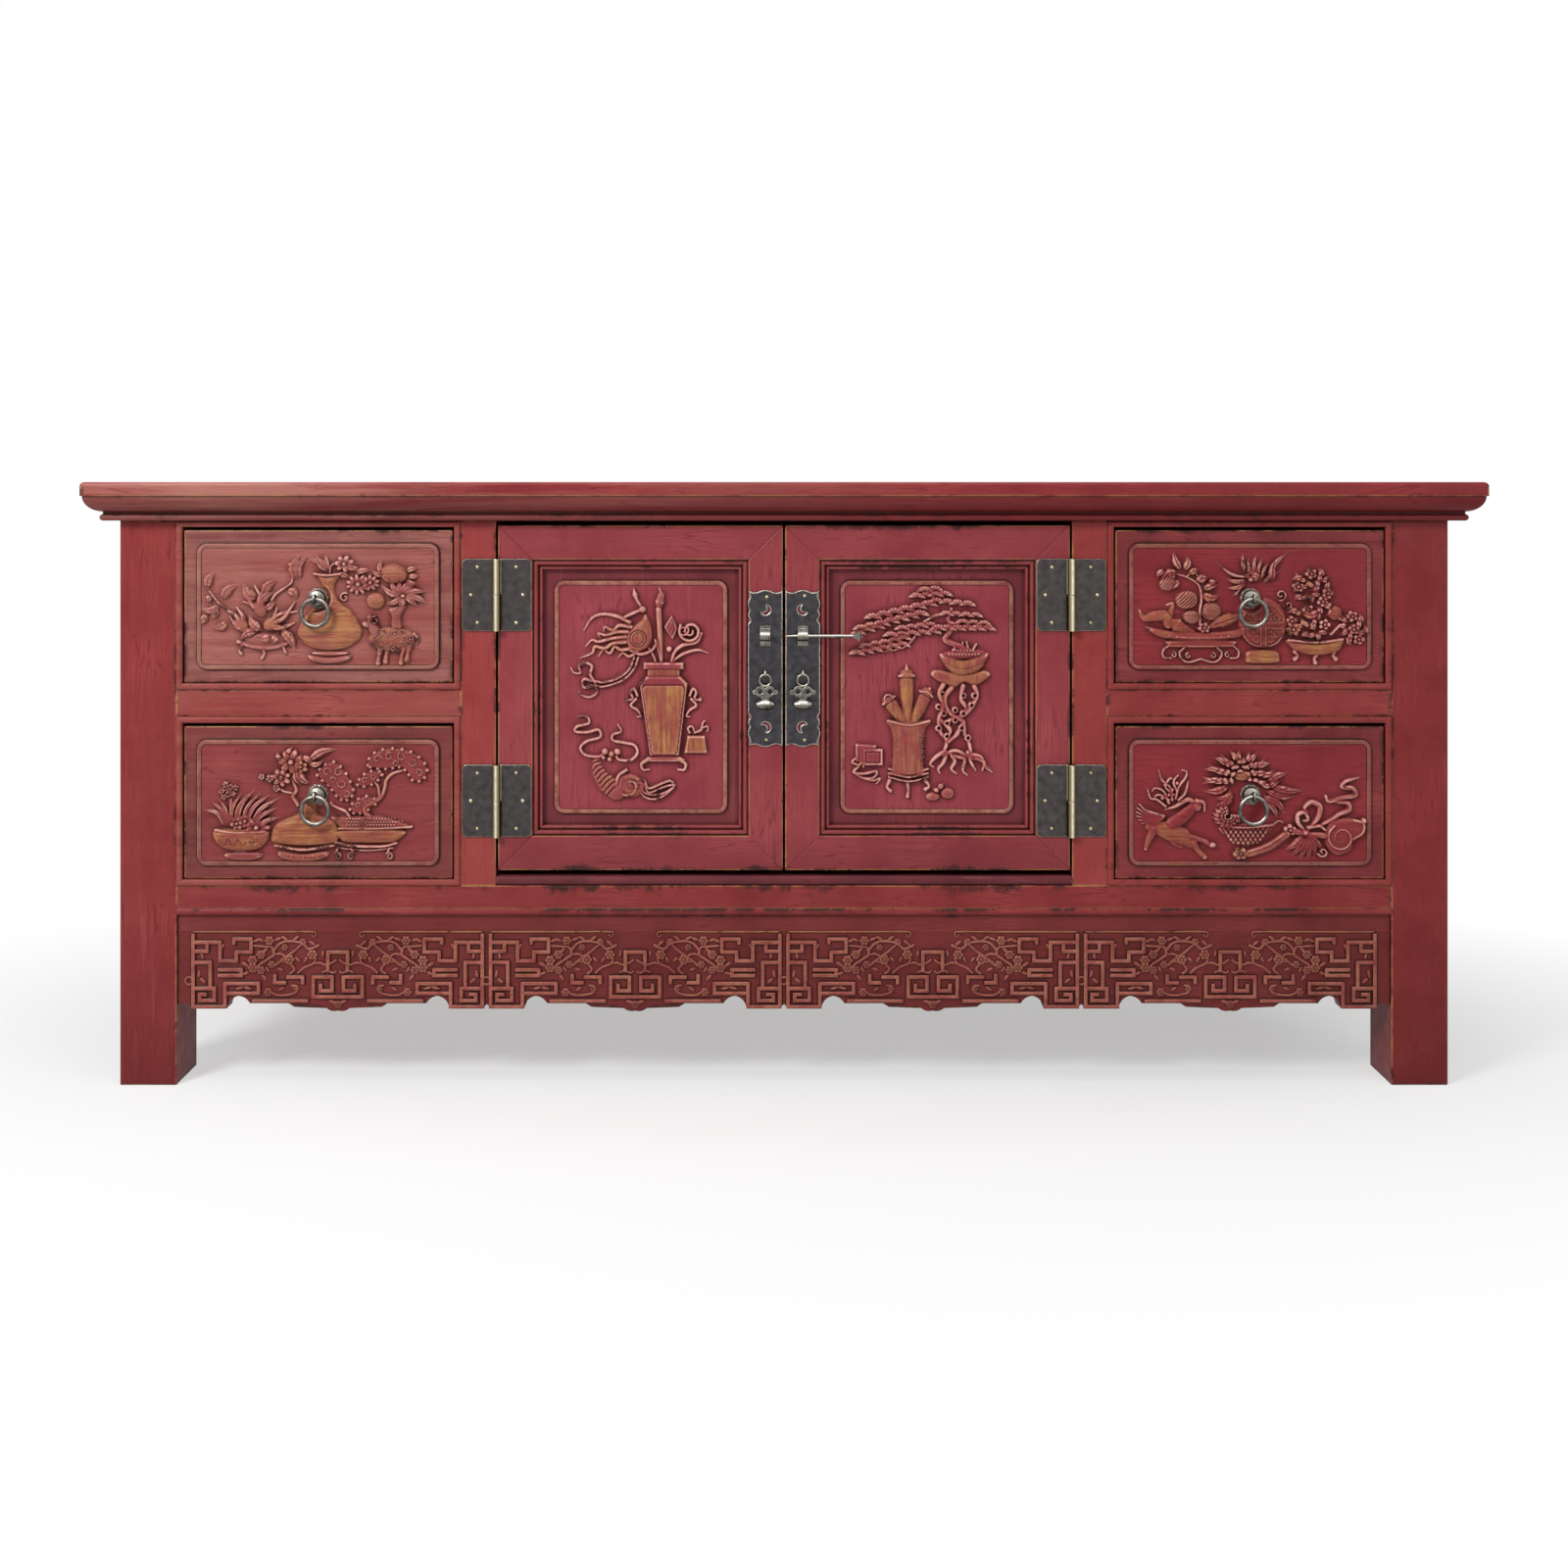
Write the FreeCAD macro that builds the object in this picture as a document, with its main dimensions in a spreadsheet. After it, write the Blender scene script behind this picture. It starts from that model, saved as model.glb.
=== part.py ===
"""Red lacquer console: four ring-pull drawers, two carved doors with a sliding bolt, a carved apron.

Millimetres. +Z is up, the front faces -Y, and the origin is on the floor under the middle of the top.
"""
import FreeCAD, Part
import math
import os
from types import SimpleNamespace

import Sketcher
from FreeCAD import Placement, Rotation, Vector

# Driving dimensions, one cell each in the sheet.
SIZES = {
    # Top
    "top_width": 1700, "top_depth": 470, "top_thick": 47, "top_frame_width": 80,
    "top_panel_thick": 16, "panel_tongue": 10, "panel_tongue_thick": 6,
    "end_overhang": 36, "front_overhang": 30, "back_overhang": 15,
    "fascia_height": 17, "fascia_round": 5, "fascia_step": 2, "ovolo_radius": 19, "ovolo_fillet": 3,
    "lip_setback": 16, "lip_radius": 4,
    # Legs and front frame
    "leg_width": 70, "leg_round": 4, "frame_depth": 40, "stile_width": 43,
    "drawer_opening_width": 348, "drawer_opening_height": 207, "drawer_rail_height": 33,
    "bottom_rail_base": 208, "bottom_rail_height": 36,
    "bead_width": 8, "bead_proud": 3, "bead_depth": 14, "sill_height": 12, "sill_depth": 17,
    # Sides, back and inside
    "side_rail_height": 50, "side_rail_thick": 24, "side_panel_thick": 10,
    "back_rail_thick": 24, "back_panel_thick": 10, "floor_thick": 14, "partition_thick": 16,
    "runner_width": 28, "runner_thick": 20, "guide_height": 24,
    # Apron
    "apron_base": 93, "apron_thick": 20, "apron_setback": 3, "apron_end_margin": 15,
    "apron_foot_width": 41, "apron_notch_width": 10, "apron_notch_height": 5,
    "apron_cusp_width": 28, "apron_cusp_height": 15, "apron_edge_rise": 6, "apron_step_width": 7,
    "apron_bud_width": 14, "apron_bud_drop": 3,
    "apron_band": 20, "fret_bar": 4.3, "fret_proud": 2.2,
    # Drawers
    "drawer_side_gap": 2, "drawer_top_gap": 4, "drawer_bottom_gap": 1, "drawer_front_thick": 20,
    "drawer_back_gap": 26, "drawer_box_height": 150, "drawer_side_thick": 12,
    "drawer_bottom_thick": 8, "drawer_bottom_rise": 8, "running_gap": 0.3, "guide_gap": 0.6,
    "field_proud": 2, "line_width": 5.5, "line_proud": 1.3, "line_soft": 1, "line_round": 12,
    "drawer_line_inset": 16,
    # Ring pulls
    "pull_rise": 10, "rosette_radius": 13, "rosette_lobes": 10, "rosette_thick": 1.6,
    "drum_radius": 11.5, "drum_top_radius": 9.5, "drum_height": 6, "drum_flute": 0.9, "cap_height": 2,
    "cap_radius": 3.5, "pull_eye_radius": 5, "pull_eye_wire": 1.4, "pull_eye_reach": 15,
    "ring_radius": 16.5, "ring_wire": 2.6,
    # Doors
    "door_gap": 3, "door_top_gap": 6, "door_bottom_gap": 7, "door_thick": 24,
    "door_frame_width": 42, "door_lip_thick": 10, "door_rebate": 12, "door_line_inset": 14,
    "moulding_quirk": 1.5, "moulding_bead": 5, "moulding_inner_bead": 4,
    "moulding_drop": 2, "moulding_inner_drop": 4.5,
    # Hinges
    "hinge_height": 88, "hinge_inset": 85, "leaf_width": 37, "leaf_thick": 1.6, "leaf_notch": 6,
    "barrel_radius": 5, "pin_radius": 2.5, "pin_gap": 0.05, "knuckle_gap": 0.6,
    # Lock plates, bolt and pendants
    "plate_width": 42, "plate_height": 192, "plate_thick": 1.6, "plate_rise": 36, "plate_edge_gap": 0.5,
    "bolt_rise": 40, "bolt_radius": 2.2, "bolt_length": 95, "bolt_tip": 12, "bolt_head": 13,
    "bolt_gap": 0.5, "bolt_reach": 7, "loop_width": 12, "loop_height": 24, "loop_offset": 23,
    "pendant_drop": 6, "pendant_eye_radius": 4, "pendant_eye_wire": 1.3, "pendant_eye_reach": 8,
    "bail_radius": 7, "bail_wire": 1.5, "pendant_thick": 2.4, "scroll_radius": 6.2, "scroll_hole": 3.4,
    "knob_radius": 2.6, "knob_offset": 13, "lump_length": 25, "lump_height": 13,
}

SIDES = (("left", -1), ("right", 1))
ROWS = ("lower", "upper")
HALF_ROUND = 1.04  # a half-round bead is drawn a little flatter than a semicircle
WIRE_SIDES = 8  # a cast wire's section, as a polygon

APRON_UNITS = 4
# Bars of the apron's key fret over half a unit, from its separator to its middle and up from its
# foot, on a sheet of FRET_SHEET millimetres.
FRET_SHEET = (182, 96)
FRET_PATHS = (
    ((5, 93), (5, 2.2), (44, 2.2), (44, 33)),
    ((44, 31), (85, 31), (85, 19), (44, 19)),
    ((5, 25), (31, 25), (31, 10), (13, 10), (13, 17.5), (22, 17.5)),
    ((5, 57), (26, 57), (26, 25)),
    ((5, 71), (22, 71), (22, 82)),
    ((5, 82), (38, 82), (38, 59), (58, 59), (58, 70), (76, 70), (76, 86), (55, 86), (55, 79)),
    ((35, 41), (64, 41), (64, 48), (35, 48)),
    ((77, 9.5), (146, 9.5)),
    ((119, 39), (139, 39), (139, 30)),
    ((105, 43), (105, 32), (119, 32)),
    ((182, 14.5), (152, 14.5), (152, 39), (175, 39), (175, 22), (161, 22), (161, 31)),
    ((182, 70), (170, 70), (170, 45)),
)

doc = FreeCAD.newDocument("console")
sheet = doc.addObject("Spreadsheet::Sheet", "Sizes")
for row, (name, number) in enumerate(SIZES.items(), start=1):
    sheet.set(f"A{row}", name)
    sheet.set(f"B{row}", str(number))
    sheet.setAlias(f"B{row}", name)
doc.recompute()


class Dim:
    """A size that carries both its number and the sheet expression that gives it."""

    def __init__(self, number, text):
        self.number = float(number)
        self.text = text

    def __float__(self):
        return self.number

    def __neg__(self):
        return Dim(-self.number, f"(0 - {self.text})")

    def __add__(self, other):
        other = dim(other)
        return Dim(self.number + other.number, f"({self.text} + {other.text})")

    def __sub__(self, other):
        other = dim(other)
        return Dim(self.number - other.number, f"({self.text} - {other.text})")

    def __mul__(self, factor):
        return Dim(self.number * factor, f"({self.text} * ({factor}))")

    def __truediv__(self, divisor):
        return Dim(self.number / divisor, f"({self.text} / {divisor})")

    __radd__ = __add__
    __rmul__ = __mul__

    def __rsub__(self, other):
        return dim(other) - self


def dim(value):
    """A Dim as it is, or a plain number made one."""
    return value if isinstance(value, Dim) else Dim(value, f"({float(value)})")


S = SimpleNamespace(**{name: Dim(sheet.get(name), f"Sizes.{name}") for name in SIZES})

# Places worked out from the driving dimensions.
HALF_TOP_X = S.top_width / 2
HALF_TOP_Y = S.top_depth / 2
BODY_X = HALF_TOP_X - S.end_overhang
LEG_X = BODY_X - S.leg_width
STILE_OUT_X = LEG_X - S.drawer_opening_width
STILE_IN_X = STILE_OUT_X - S.stile_width
FRONT_Y = S.front_overhang - HALF_TOP_Y
BACK_Y = HALF_TOP_Y - S.back_overhang
FRAME_BACK_Y = FRONT_Y + S.frame_depth
BACK_PANEL_Y = BACK_Y - S.back_rail_thick - S.back_panel_thick
FLOOR_Z = S.bottom_rail_base + S.bottom_rail_height
RAIL_Z = FLOOR_Z + S.drawer_opening_height
UPPER_Z = RAIL_Z + S.drawer_rail_height
TOP_Z = UPPER_Z + S.drawer_opening_height
HEIGHT = TOP_Z + S.top_thick
DOOR_Z = FLOOR_Z + S.sill_height + S.door_bottom_gap
DOOR_TOP_Z = TOP_Z - S.door_top_gap
DOOR_BACK_Y = FRONT_Y + S.door_thick
MOULDING_WIDTH = S.moulding_quirk * 2 + S.moulding_bead + S.moulding_inner_bead
BARREL_X = STILE_IN_X - S.door_gap / 2
BARREL_Y = FRONT_Y - S.barrel_radius - S.running_gap
DOOR_OUT_X = STILE_IN_X - S.door_gap
DOOR_IN_X = S.door_gap / 2
HINGE_ZS = (DOOR_Z + S.hinge_inset, DOOR_TOP_Z - S.hinge_inset)
PLATE_Z = (DOOR_Z + DOOR_TOP_Z) / 2 + S.plate_rise
PLATE_Y = FRONT_Y - S.plate_thick
BOLT_Y = PLATE_Y - S.bolt_reach
BOLT_Z = PLATE_Z + S.bolt_rise
PENDANT_EYE_Z = PLATE_Z - S.pendant_drop
PENDANT_Y = PLATE_Y - S.pendant_eye_reach
OPENING_ZS = {"lower": FLOOR_Z, "upper": UPPER_Z}

nodes = {}


def keep(label, piece):
    """Name a finished sub-part and list it."""
    piece.Label = label
    nodes[label] = piece
    return piece


def span(side, low, high):
    """A stretch of X on the right, or its mirror on the left."""
    return (low, high) if side > 0 else (-high, -low)


def board(name, x, y, z):
    """A straight board between (low, high) stretches of X, Y and Z."""
    box = doc.addObject("Part::Box", name)
    for size, axis, (low, high) in zip(("Length", "Width", "Height"), "xyz", (x, y, z)):
        box.setExpression(size, (dim(high) - low).text)
        box.setExpression(f"Placement.Base.{axis}", dim(low).text)
    return box


def fuse(name, base, tool):
    """Two objects made one solid."""
    joined = doc.addObject("Part::Fuse", name)
    joined.Base = base
    joined.Tool = tool
    return joined


def group(name, members):
    """Separate solids that share one node."""
    compound = doc.addObject("Part::Compound", name)
    compound.Links = members
    return compound


def shaped(name, shape):
    """A solid made with Part's own functions."""
    feature = doc.addObject("Part::Feature", name)
    feature.Shape = shape
    return feature


def arc_geometry(start, end, radius):
    """The short arc between two points, turning left where the radius is positive."""
    chord = end - start
    rise = math.sqrt(max(radius * radius - chord.Length ** 2 / 4, 0))
    left = Vector(-chord.y, chord.x, 0).normalize()
    centre = (start + end) / 2 + left * math.copysign(rise, radius)
    first, last = (start, end) if radius > 0 else (end, start)
    angles = [math.atan2(p.y - centre.y, p.x - centre.x) for p in (first, last)]
    circle = Part.Circle(centre, Vector(0, 0, 1), abs(radius))
    return Part.ArcOfCircle(circle, *angles)


def draw(sketch, corners):
    """A closed outline of (u, v) corners; (u, v, radius) is reached by an arc instead of a line."""
    first = sketch.GeometryCount
    count = len(corners)
    ends = []
    rules = []
    sizes = []
    for index, corner in enumerate(corners):
        start, end = (Vector(float(p[0]), float(p[1]), 0) for p in (corners[index - 1], corner))
        if len(corner) == 2:
            sketch.addGeometry(Part.LineSegment(start, end))
            ends.append((1, 2))
        else:
            sketch.addGeometry(arc_geometry(start, end, float(corner[2])))
            ends.append((1, 2) if float(corner[2]) > 0 else (2, 1))
    for index, corner in enumerate(corners):
        after = (index + 1) % count
        here = (first + index, ends[index][1])
        rules.append(Sketcher.Constraint("Coincident", *here, first + after, ends[after][0]))
        sizes.append(None)
        for kind, place in (("DistanceX", corner[0]), ("DistanceY", corner[1])):
            rules.append(Sketcher.Constraint(kind, *here, float(place)))
            sizes.append(place)
        if len(corner) == 3:
            rules.append(Sketcher.Constraint("Radius", first + index, abs(float(corner[2]))))
            sizes.append(corner[2] if float(corner[2]) > 0 else -dim(corner[2]))
    start_rule = sketch.ConstraintCount
    sketch.addConstraint(rules)
    for index, size in enumerate(sizes):
        if isinstance(size, Dim):
            sketch.setExpression(f"Constraints[{start_rule + index}]", size.text)


def sketch_on(body, role, offset, loops):
    """A sketch on one of the body's own planes, moved along its normal."""
    plane = next(feature for feature in body.Origin.OriginFeatures if feature.Role == role)
    sketch = body.newObject("Sketcher::SketchObject", f"{body.Name}_outline")
    sketch.AttachmentSupport = [(plane, "")]
    sketch.MapMode = "FlatFace"
    sketch.setExpression("AttachmentOffset.Base.z", dim(offset).text)
    for loop in loops:
        draw(sketch, loop)
    return sketch


def add(body, kind, sketch, length):
    """A Pad or Pocket of a sketch."""
    feature = body.newObject(f"PartDesign::{kind}", f"{body.Name}_{kind.lower()}")
    feature.Profile = sketch
    feature.setExpression("Length", dim(length).text)
    return feature


def pad(name, role, offset, loops, length):
    """A new body with one pad."""
    body = doc.addObject("PartDesign::Body", name)
    add(body, "Pad", sketch_on(body, role, offset, loops), length)
    return body


def pad_forward(body, back, front, loops):
    """A pad of outlines in X and Z, from the back Y to the front Y."""
    return add(body, "Pad", sketch_on(body, "XZ_Plane", -back, loops), back - front)


def round_edges(body, radius, wanted):
    """Fillet the edges of the body's last feature that pass a test."""
    doc.recompute()
    last = body.Tip
    names = [f"Edge{i}" for i, edge in enumerate(last.Shape.Edges, start=1) if wanted(edge)]
    fillet = body.newObject("PartDesign::Fillet", f"{body.Name}_round")
    fillet.Base = (last, names)
    fillet.setExpression("Radius", radius.text)
    return fillet


def rectangle(x, z):
    """Corners of a rectangle, counter-clockwise."""
    return [(x[0], z[0]), (x[1], z[0]), (x[1], z[1]), (x[0], z[1])]


def inset(stretch, margin):
    """A stretch made shorter at both ends."""
    return (stretch[0] + margin, stretch[1] - margin)


def rounded(x, z, radius):
    """A rectangle with round corners, counter-clockwise."""
    return [(x[0] + radius, z[0]), (x[1] - radius, z[0]), (x[1], z[0] + radius, radius),
            (x[1], z[1] - radius), (x[1] - radius, z[1], radius), (x[0] + radius, z[1]),
            (x[0], z[1] - radius, radius), (x[0], z[0] + radius), (x[0] + radius, z[0], radius)][1:]


def raised_field(body, x, z, face):
    """A field with round corners that stands proud of a face at Y, and the soft bead along its rim."""
    field = face - S.field_proud
    crown = field - S.line_proud
    outer = rounded(x, z, S.line_round)
    inner = rounded(inset(x, S.line_width), inset(z, S.line_width), S.line_round - S.line_width)
    pad_forward(body, face, field, [outer])
    pad_forward(body, field, crown, [outer, inner])
    round_edges(body, S.line_soft, lambda edge: edge.BoundBox.YMax < float(crown) + 0.01)


def curved(points, axis):
    """A closed wire of (u, v) points; (u, v, sag) is reached by an arc that bulges left by sag."""
    place = {"y": lambda u, v: Vector(u, 0, v), "x": lambda u, v: Vector(0, u, v)}[axis]
    edges = []
    for before, point in zip(points[-1:] + points[:-1], points):
        start, end = (place(float(p[0]), float(p[1])) for p in (before, point))
        if len(point) == 2:
            edges.append(Part.LineSegment(start, end).toShape())
            continue
        across, up = float(point[0]) - float(before[0]), float(point[1]) - float(before[1])
        length = math.hypot(across, up)
        sag = float(point[2])
        middle = (start + end) / 2 + place(-up / length * sag, across / length * sag)
        edges.append(Part.Arc(start, middle, end).toShape())
    return Part.Wire(edges)


# Top frame: moulded rails with mitred corners round a floating panel.
def top_section(sign, half):
    """Section of a top rail as (across, Z), the moulded edge outwards."""
    def at(inward):
        return (half - inward) * sign

    fascia = HEIGHT - S.fascia_height
    lip_top = TOP_Z + S.lip_radius * 2
    lip_centre = S.lip_setback + S.lip_radius
    groove = HEIGHT - S.top_panel_thick
    return [
        (at(S.fascia_round), HEIGHT), (at(dim(0)), HEIGHT - S.fascia_round, -sign * S.fascia_round),
        (at(dim(0)), fascia), (at(S.fascia_step), fascia),
        (at(lip_centre), lip_top + S.ovolo_fillet, -sign * S.ovolo_radius), (at(lip_centre), lip_top),
        (at(lip_centre), TOP_Z, -sign * HALF_ROUND * S.lip_radius),
        (at(S.top_frame_width), TOP_Z), (at(S.top_frame_width), groove),
        (at(S.top_frame_width - S.panel_tongue), groove),
        (at(S.top_frame_width - S.panel_tongue), groove + S.panel_tongue_thick),
        (at(S.top_frame_width), groove + S.panel_tongue_thick), (at(S.top_frame_width), HEIGHT),
    ]


def mitred(body, role, offset, loops, depth):
    """Cut the mitres at the two ends of a rail."""
    add(body, "Pocket", sketch_on(body, role, offset, loops), depth)
    return body


def make_top():
    width = S.top_frame_width
    above = HEIGHT + 1
    depth = S.top_thick + 2
    for label, sign in (("top_front_rail", -1), ("top_back_rail", 1)):
        rail = pad(label, "YZ_Plane", -HALF_TOP_X, [top_section(sign, HALF_TOP_Y)], S.top_width)
        y_out = HALF_TOP_Y * sign
        y_in = (HALF_TOP_Y - width) * sign
        ends = [[(HALF_TOP_X * end, y_out), ((HALF_TOP_X - width) * end, y_in), (HALF_TOP_X * end, y_in)]
                for end in (-1, 1)]
        keep(label, mitred(rail, "XY_Plane", above, ends, depth))
    for side_name, sign in SIDES:
        label = f"top_{side_name}_end"
        rail = pad(label, "XZ_Plane", -HALF_TOP_Y, [top_section(sign, HALF_TOP_X)], S.top_depth)
        x_out = HALF_TOP_X * sign
        x_in = (HALF_TOP_X - width) * sign
        ends = [[(x_out, HALF_TOP_Y * end), (x_in, (HALF_TOP_Y - width) * end), (x_in, HALF_TOP_Y * end)]
                for end in (-1, 1)]
        keep(label, mitred(rail, "XY_Plane", above, ends, depth))
    inner_x = HALF_TOP_X - width
    inner_y = HALF_TOP_Y - width
    base = HEIGHT - S.top_panel_thick
    field = board("top_panel_field", (-inner_x, inner_x), (-inner_y, inner_y), (base, HEIGHT))
    tongue_x = inner_x + S.panel_tongue
    tongue_y = inner_y + S.panel_tongue
    tongue = board("top_panel_tongue", (-tongue_x, tongue_x), (-tongue_y, tongue_y),
                   (base, base + S.panel_tongue_thick))
    keep("top_panel", fuse("top_panel", field, tongue))


# Carcase: legs, front frame, sides, back, floor, partitions and runners.
def make_legs():
    ends = (("front", (FRONT_Y, FRONT_Y + S.leg_width)), ("back", (BACK_Y - S.leg_width, BACK_Y)))
    for end_name, y in ends:
        for side_name, side in SIDES:
            label = f"leg_{end_name}_{side_name}"
            leg = pad(label, "XY_Plane", 0, [rectangle(span(side, LEG_X, BODY_X), y)], TOP_Z)
            outer = float(BODY_X) * side
            round_edges(leg, S.leg_round, lambda edge: abs(edge.CenterOfMass.x - outer) < 0.01
                        and abs(edge.BoundBox.ZLength - float(TOP_Z)) < 0.01)
            keep(label, leg)


def make_front_frame():
    y = (FRONT_Y, FRAME_BACK_Y)
    for side_name, side in SIDES:
        keep(f"stile_{side_name}", board(f"stile_{side_name}", span(side, STILE_IN_X, STILE_OUT_X), y,
                                         (FLOOR_Z, TOP_Z)))
        keep(f"drawer_rail_{side_name}", board(f"drawer_rail_{side_name}", span(side, STILE_OUT_X, LEG_X), y,
                                               (RAIL_Z, UPPER_Z)))
    base = S.bottom_rail_base
    nose = S.bead_width / 2 * HALF_ROUND
    section = [(FRAME_BACK_Y, base), (FRAME_BACK_Y, FLOOR_Z), (FRONT_Y, FLOOR_Z),
               (FRONT_Y, base + S.bead_width), (FRONT_Y, base, nose)]
    keep("bottom_rail_front", pad("bottom_rail_front", "YZ_Plane", -LEG_X, [section], LEG_X * 2))
    sill_front = FRONT_Y - S.bead_proud
    sill_back = sill_front + S.sill_depth
    half = S.sill_height / 2
    section = [(sill_back, FLOOR_Z), (sill_back, FLOOR_Z + S.sill_height),
               (sill_front + half, FLOOR_Z + S.sill_height), (sill_front + half, FLOOR_Z, half * HALF_ROUND)]
    keep("door_sill", pad("door_sill", "YZ_Plane", -STILE_IN_X, [section], STILE_IN_X * 2))


def make_opening_beads():
    rings = []
    front = FRONT_Y - S.bead_proud
    for side_name, side in SIDES:
        x = span(side, STILE_OUT_X, LEG_X)
        for row_name in ROWS:
            z = (OPENING_ZS[row_name], OPENING_ZS[row_name] + S.drawer_opening_height)
            ring = doc.addObject("PartDesign::Body", f"bead_{row_name}_{side_name}")
            pad_forward(ring, front + S.bead_depth, front,
                        [rectangle(x, z), rectangle(inset(x, S.bead_width), inset(z, S.bead_width))])
            round_edges(ring, S.bead_proud, lambda edge: edge.BoundBox.YMax < float(front) + 0.01)
            rings.append(ring)
    keep("drawer_opening_beads", group("drawer_opening_beads", rings))


def make_sides_and_back():
    y = (FRONT_Y + S.leg_width, BACK_Y - S.leg_width)
    low = (S.bottom_rail_base, S.bottom_rail_base + S.side_rail_height)
    high = (TOP_Z - S.side_rail_height, TOP_Z)
    side_rail_x = BODY_X - S.side_rail_thick
    rails = []
    for side_name, side in SIDES:
        for place, z in (("low", low), ("high", high)):
            rails.append(board(f"side_rail_{side_name}_{place}", span(side, side_rail_x, BODY_X), y, z))
        keep(f"side_panel_{side_name}",
             board(f"side_panel_{side_name}", span(side, side_rail_x - S.side_panel_thick, side_rail_x), y,
                   (S.bottom_rail_base, TOP_Z)))
    keep("side_rails", group("side_rails", rails))
    rails = [board(f"back_rail_{place}", (-LEG_X, LEG_X), (BACK_Y - S.back_rail_thick, BACK_Y), z)
             for place, z in (("low", low), ("high", high))]
    keep("back_rails", group("back_rails", rails))
    keep("back_panel", board("back_panel", (-LEG_X, LEG_X), (BACK_PANEL_Y, BACK_PANEL_Y + S.back_panel_thick),
                             (S.bottom_rail_base, TOP_Z)))


def make_inside():
    y = (FRAME_BACK_Y, BACK_PANEL_Y)
    floor_z = (FLOOR_Z - S.floor_thick, FLOOR_Z)
    wide = BODY_X - S.side_rail_thick - S.side_panel_thick
    between_legs = (FRONT_Y + S.leg_width, BACK_Y - S.leg_width)
    keep("floor_board", fuse("floor_board", board("floor_middle", (-LEG_X, LEG_X), y, floor_z),
                             board("floor_ends", (-wide, wide), between_legs, floor_z)))
    strips = []
    rise = S.bead_width + S.drawer_bottom_gap - S.running_gap
    for side_name, side in SIDES:
        keep(f"partition_{side_name}",
             board(f"partition_{side_name}", span(side, STILE_OUT_X - S.partition_thick, STILE_OUT_X), y,
                   (FLOOR_Z, TOP_Z)))
        guide_in = S.bead_width + S.drawer_side_gap - S.guide_gap
        for row_name, below in (("lower", dim(0)), ("upper", S.runner_thick - rise)):
            base = OPENING_ZS[row_name]
            top = base + rise
            for place, wall, inward in (("inner", STILE_OUT_X, 1), ("outer", LEG_X, -1)):
                edges = sorted((wall, wall + S.runner_width * inward), key=float)
                name = f"runner_{row_name}_{side_name}_{place}"
                strips.append(board(name, span(side, *edges), y, (base - below, top)))
                edges = sorted((wall, wall + guide_in * inward), key=float)
                name = f"guide_{row_name}_{side_name}_{place}"
                strips.append(board(name, span(side, *edges), y, (top, top + S.guide_height)))
    keep("drawer_runners", group("drawer_runners", strips))


# Apron: scalloped units, each mirrored about its middle, with a raised key fret.
def bar_face(path, width):
    """Outline in X and Z of a bar that follows a path of square turns."""
    steps = []
    for (u, v), (next_u, next_v) in zip(path, path[1:]):
        length = math.hypot(next_u - u, next_v - v)
        steps.append(((next_u - u) / length, (next_v - v) / length))
    left = []
    right = []
    for index, (u, v) in enumerate(path):
        turns = steps[max(index - 1, 0):index + 1]
        aside = [width / 2 * sum(part) for part in zip(*((-up, across) for across, up in turns))]
        left.append(Vector(u + aside[0], 0, v + aside[1]))
        right.append(Vector(u - aside[0], 0, v - aside[1]))
    outline = left + right[::-1]
    return Part.Face(Part.makePolygon(outline + outline[:1]))


def fret_shape(starts, unit, rise):
    """All the fret's bars, standing proud of a face at Y = 0 and let into it by as much."""
    proud = float(S.fret_proud)
    stretch = unit / 2 / FRET_SHEET[0]
    lift = rise / FRET_SHEET[1]
    bars = []
    for start in starts:
        for corner, away in ((start, 1), (start + unit, -1)):
            for path in FRET_PATHS:
                placed = [(corner + away * stretch * s, lift * v) for s, v in path]
                face = bar_face(placed, float(S.fret_bar))
                face.translate(Vector(0, proud, 0))
                bars.append(face.extrude(Vector(0, -2 * proud, 0)))
    return bars[0].multiFuse(bars[1:])


def make_apron():
    top = S.bottom_rail_base
    unit = (LEG_X - S.apron_end_margin) * 2 / APRON_UNITS
    foot = S.apron_base
    notch = S.apron_notch_width / 2
    foot_end = notch + S.apron_foot_width
    cusp_end = foot_end + S.apron_cusp_width
    cusp_round = S.apron_cusp_width * 0.6
    edge_z = foot + S.apron_edge_rise
    step = unit / 3
    bud = unit / 2 - S.apron_bud_width
    half = [
        (notch, foot), (foot_end, foot),
        ((foot_end + cusp_end) / 2, foot + S.apron_cusp_height, -cusp_round), (cusp_end, edge_z, -cusp_round),
        (step, edge_z), (step + S.apron_step_width, foot + S.apron_edge_rise / 4), (bud, foot),
        (unit / 2, foot - S.apron_bud_drop, S.apron_bud_width),
    ]
    radii = [corner[2:] for corner in half] + [()]
    other_half = list(zip(half, radii[1:]))[-2::-1]
    gap = foot + S.apron_notch_height
    starts = [S.apron_end_margin - LEG_X + unit * index for index in range(APRON_UNITS)]
    edge = []
    for start in starts:
        edge.append((start, gap))
        edge += [(start + corner[0], *corner[1:]) for corner in half]
        edge += [(start + unit - corner[0], corner[1], *radius) for corner, radius in other_half]
    edge.append((starts[-1] + unit, gap))
    front = FRONT_Y + S.apron_setback
    plain = doc.addObject("PartDesign::Body", "apron_board")
    pad_forward(plain, front + S.apron_thick, front,
                [[(-LEG_X, gap)] + edge + [(LEG_X, gap), (LEG_X, top), (-LEG_X, top)]])
    rise = float(top - foot - S.apron_band)
    fret = shaped("apron_fret", fret_shape([float(start) for start in starts], float(unit), rise))
    fret.Placement = Placement(Vector(0, float(front), float(foot)), Rotation())
    apron = fuse("apron_front", plain, fret)
    apron.Refine = True
    keep("apron_front", apron)


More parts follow.
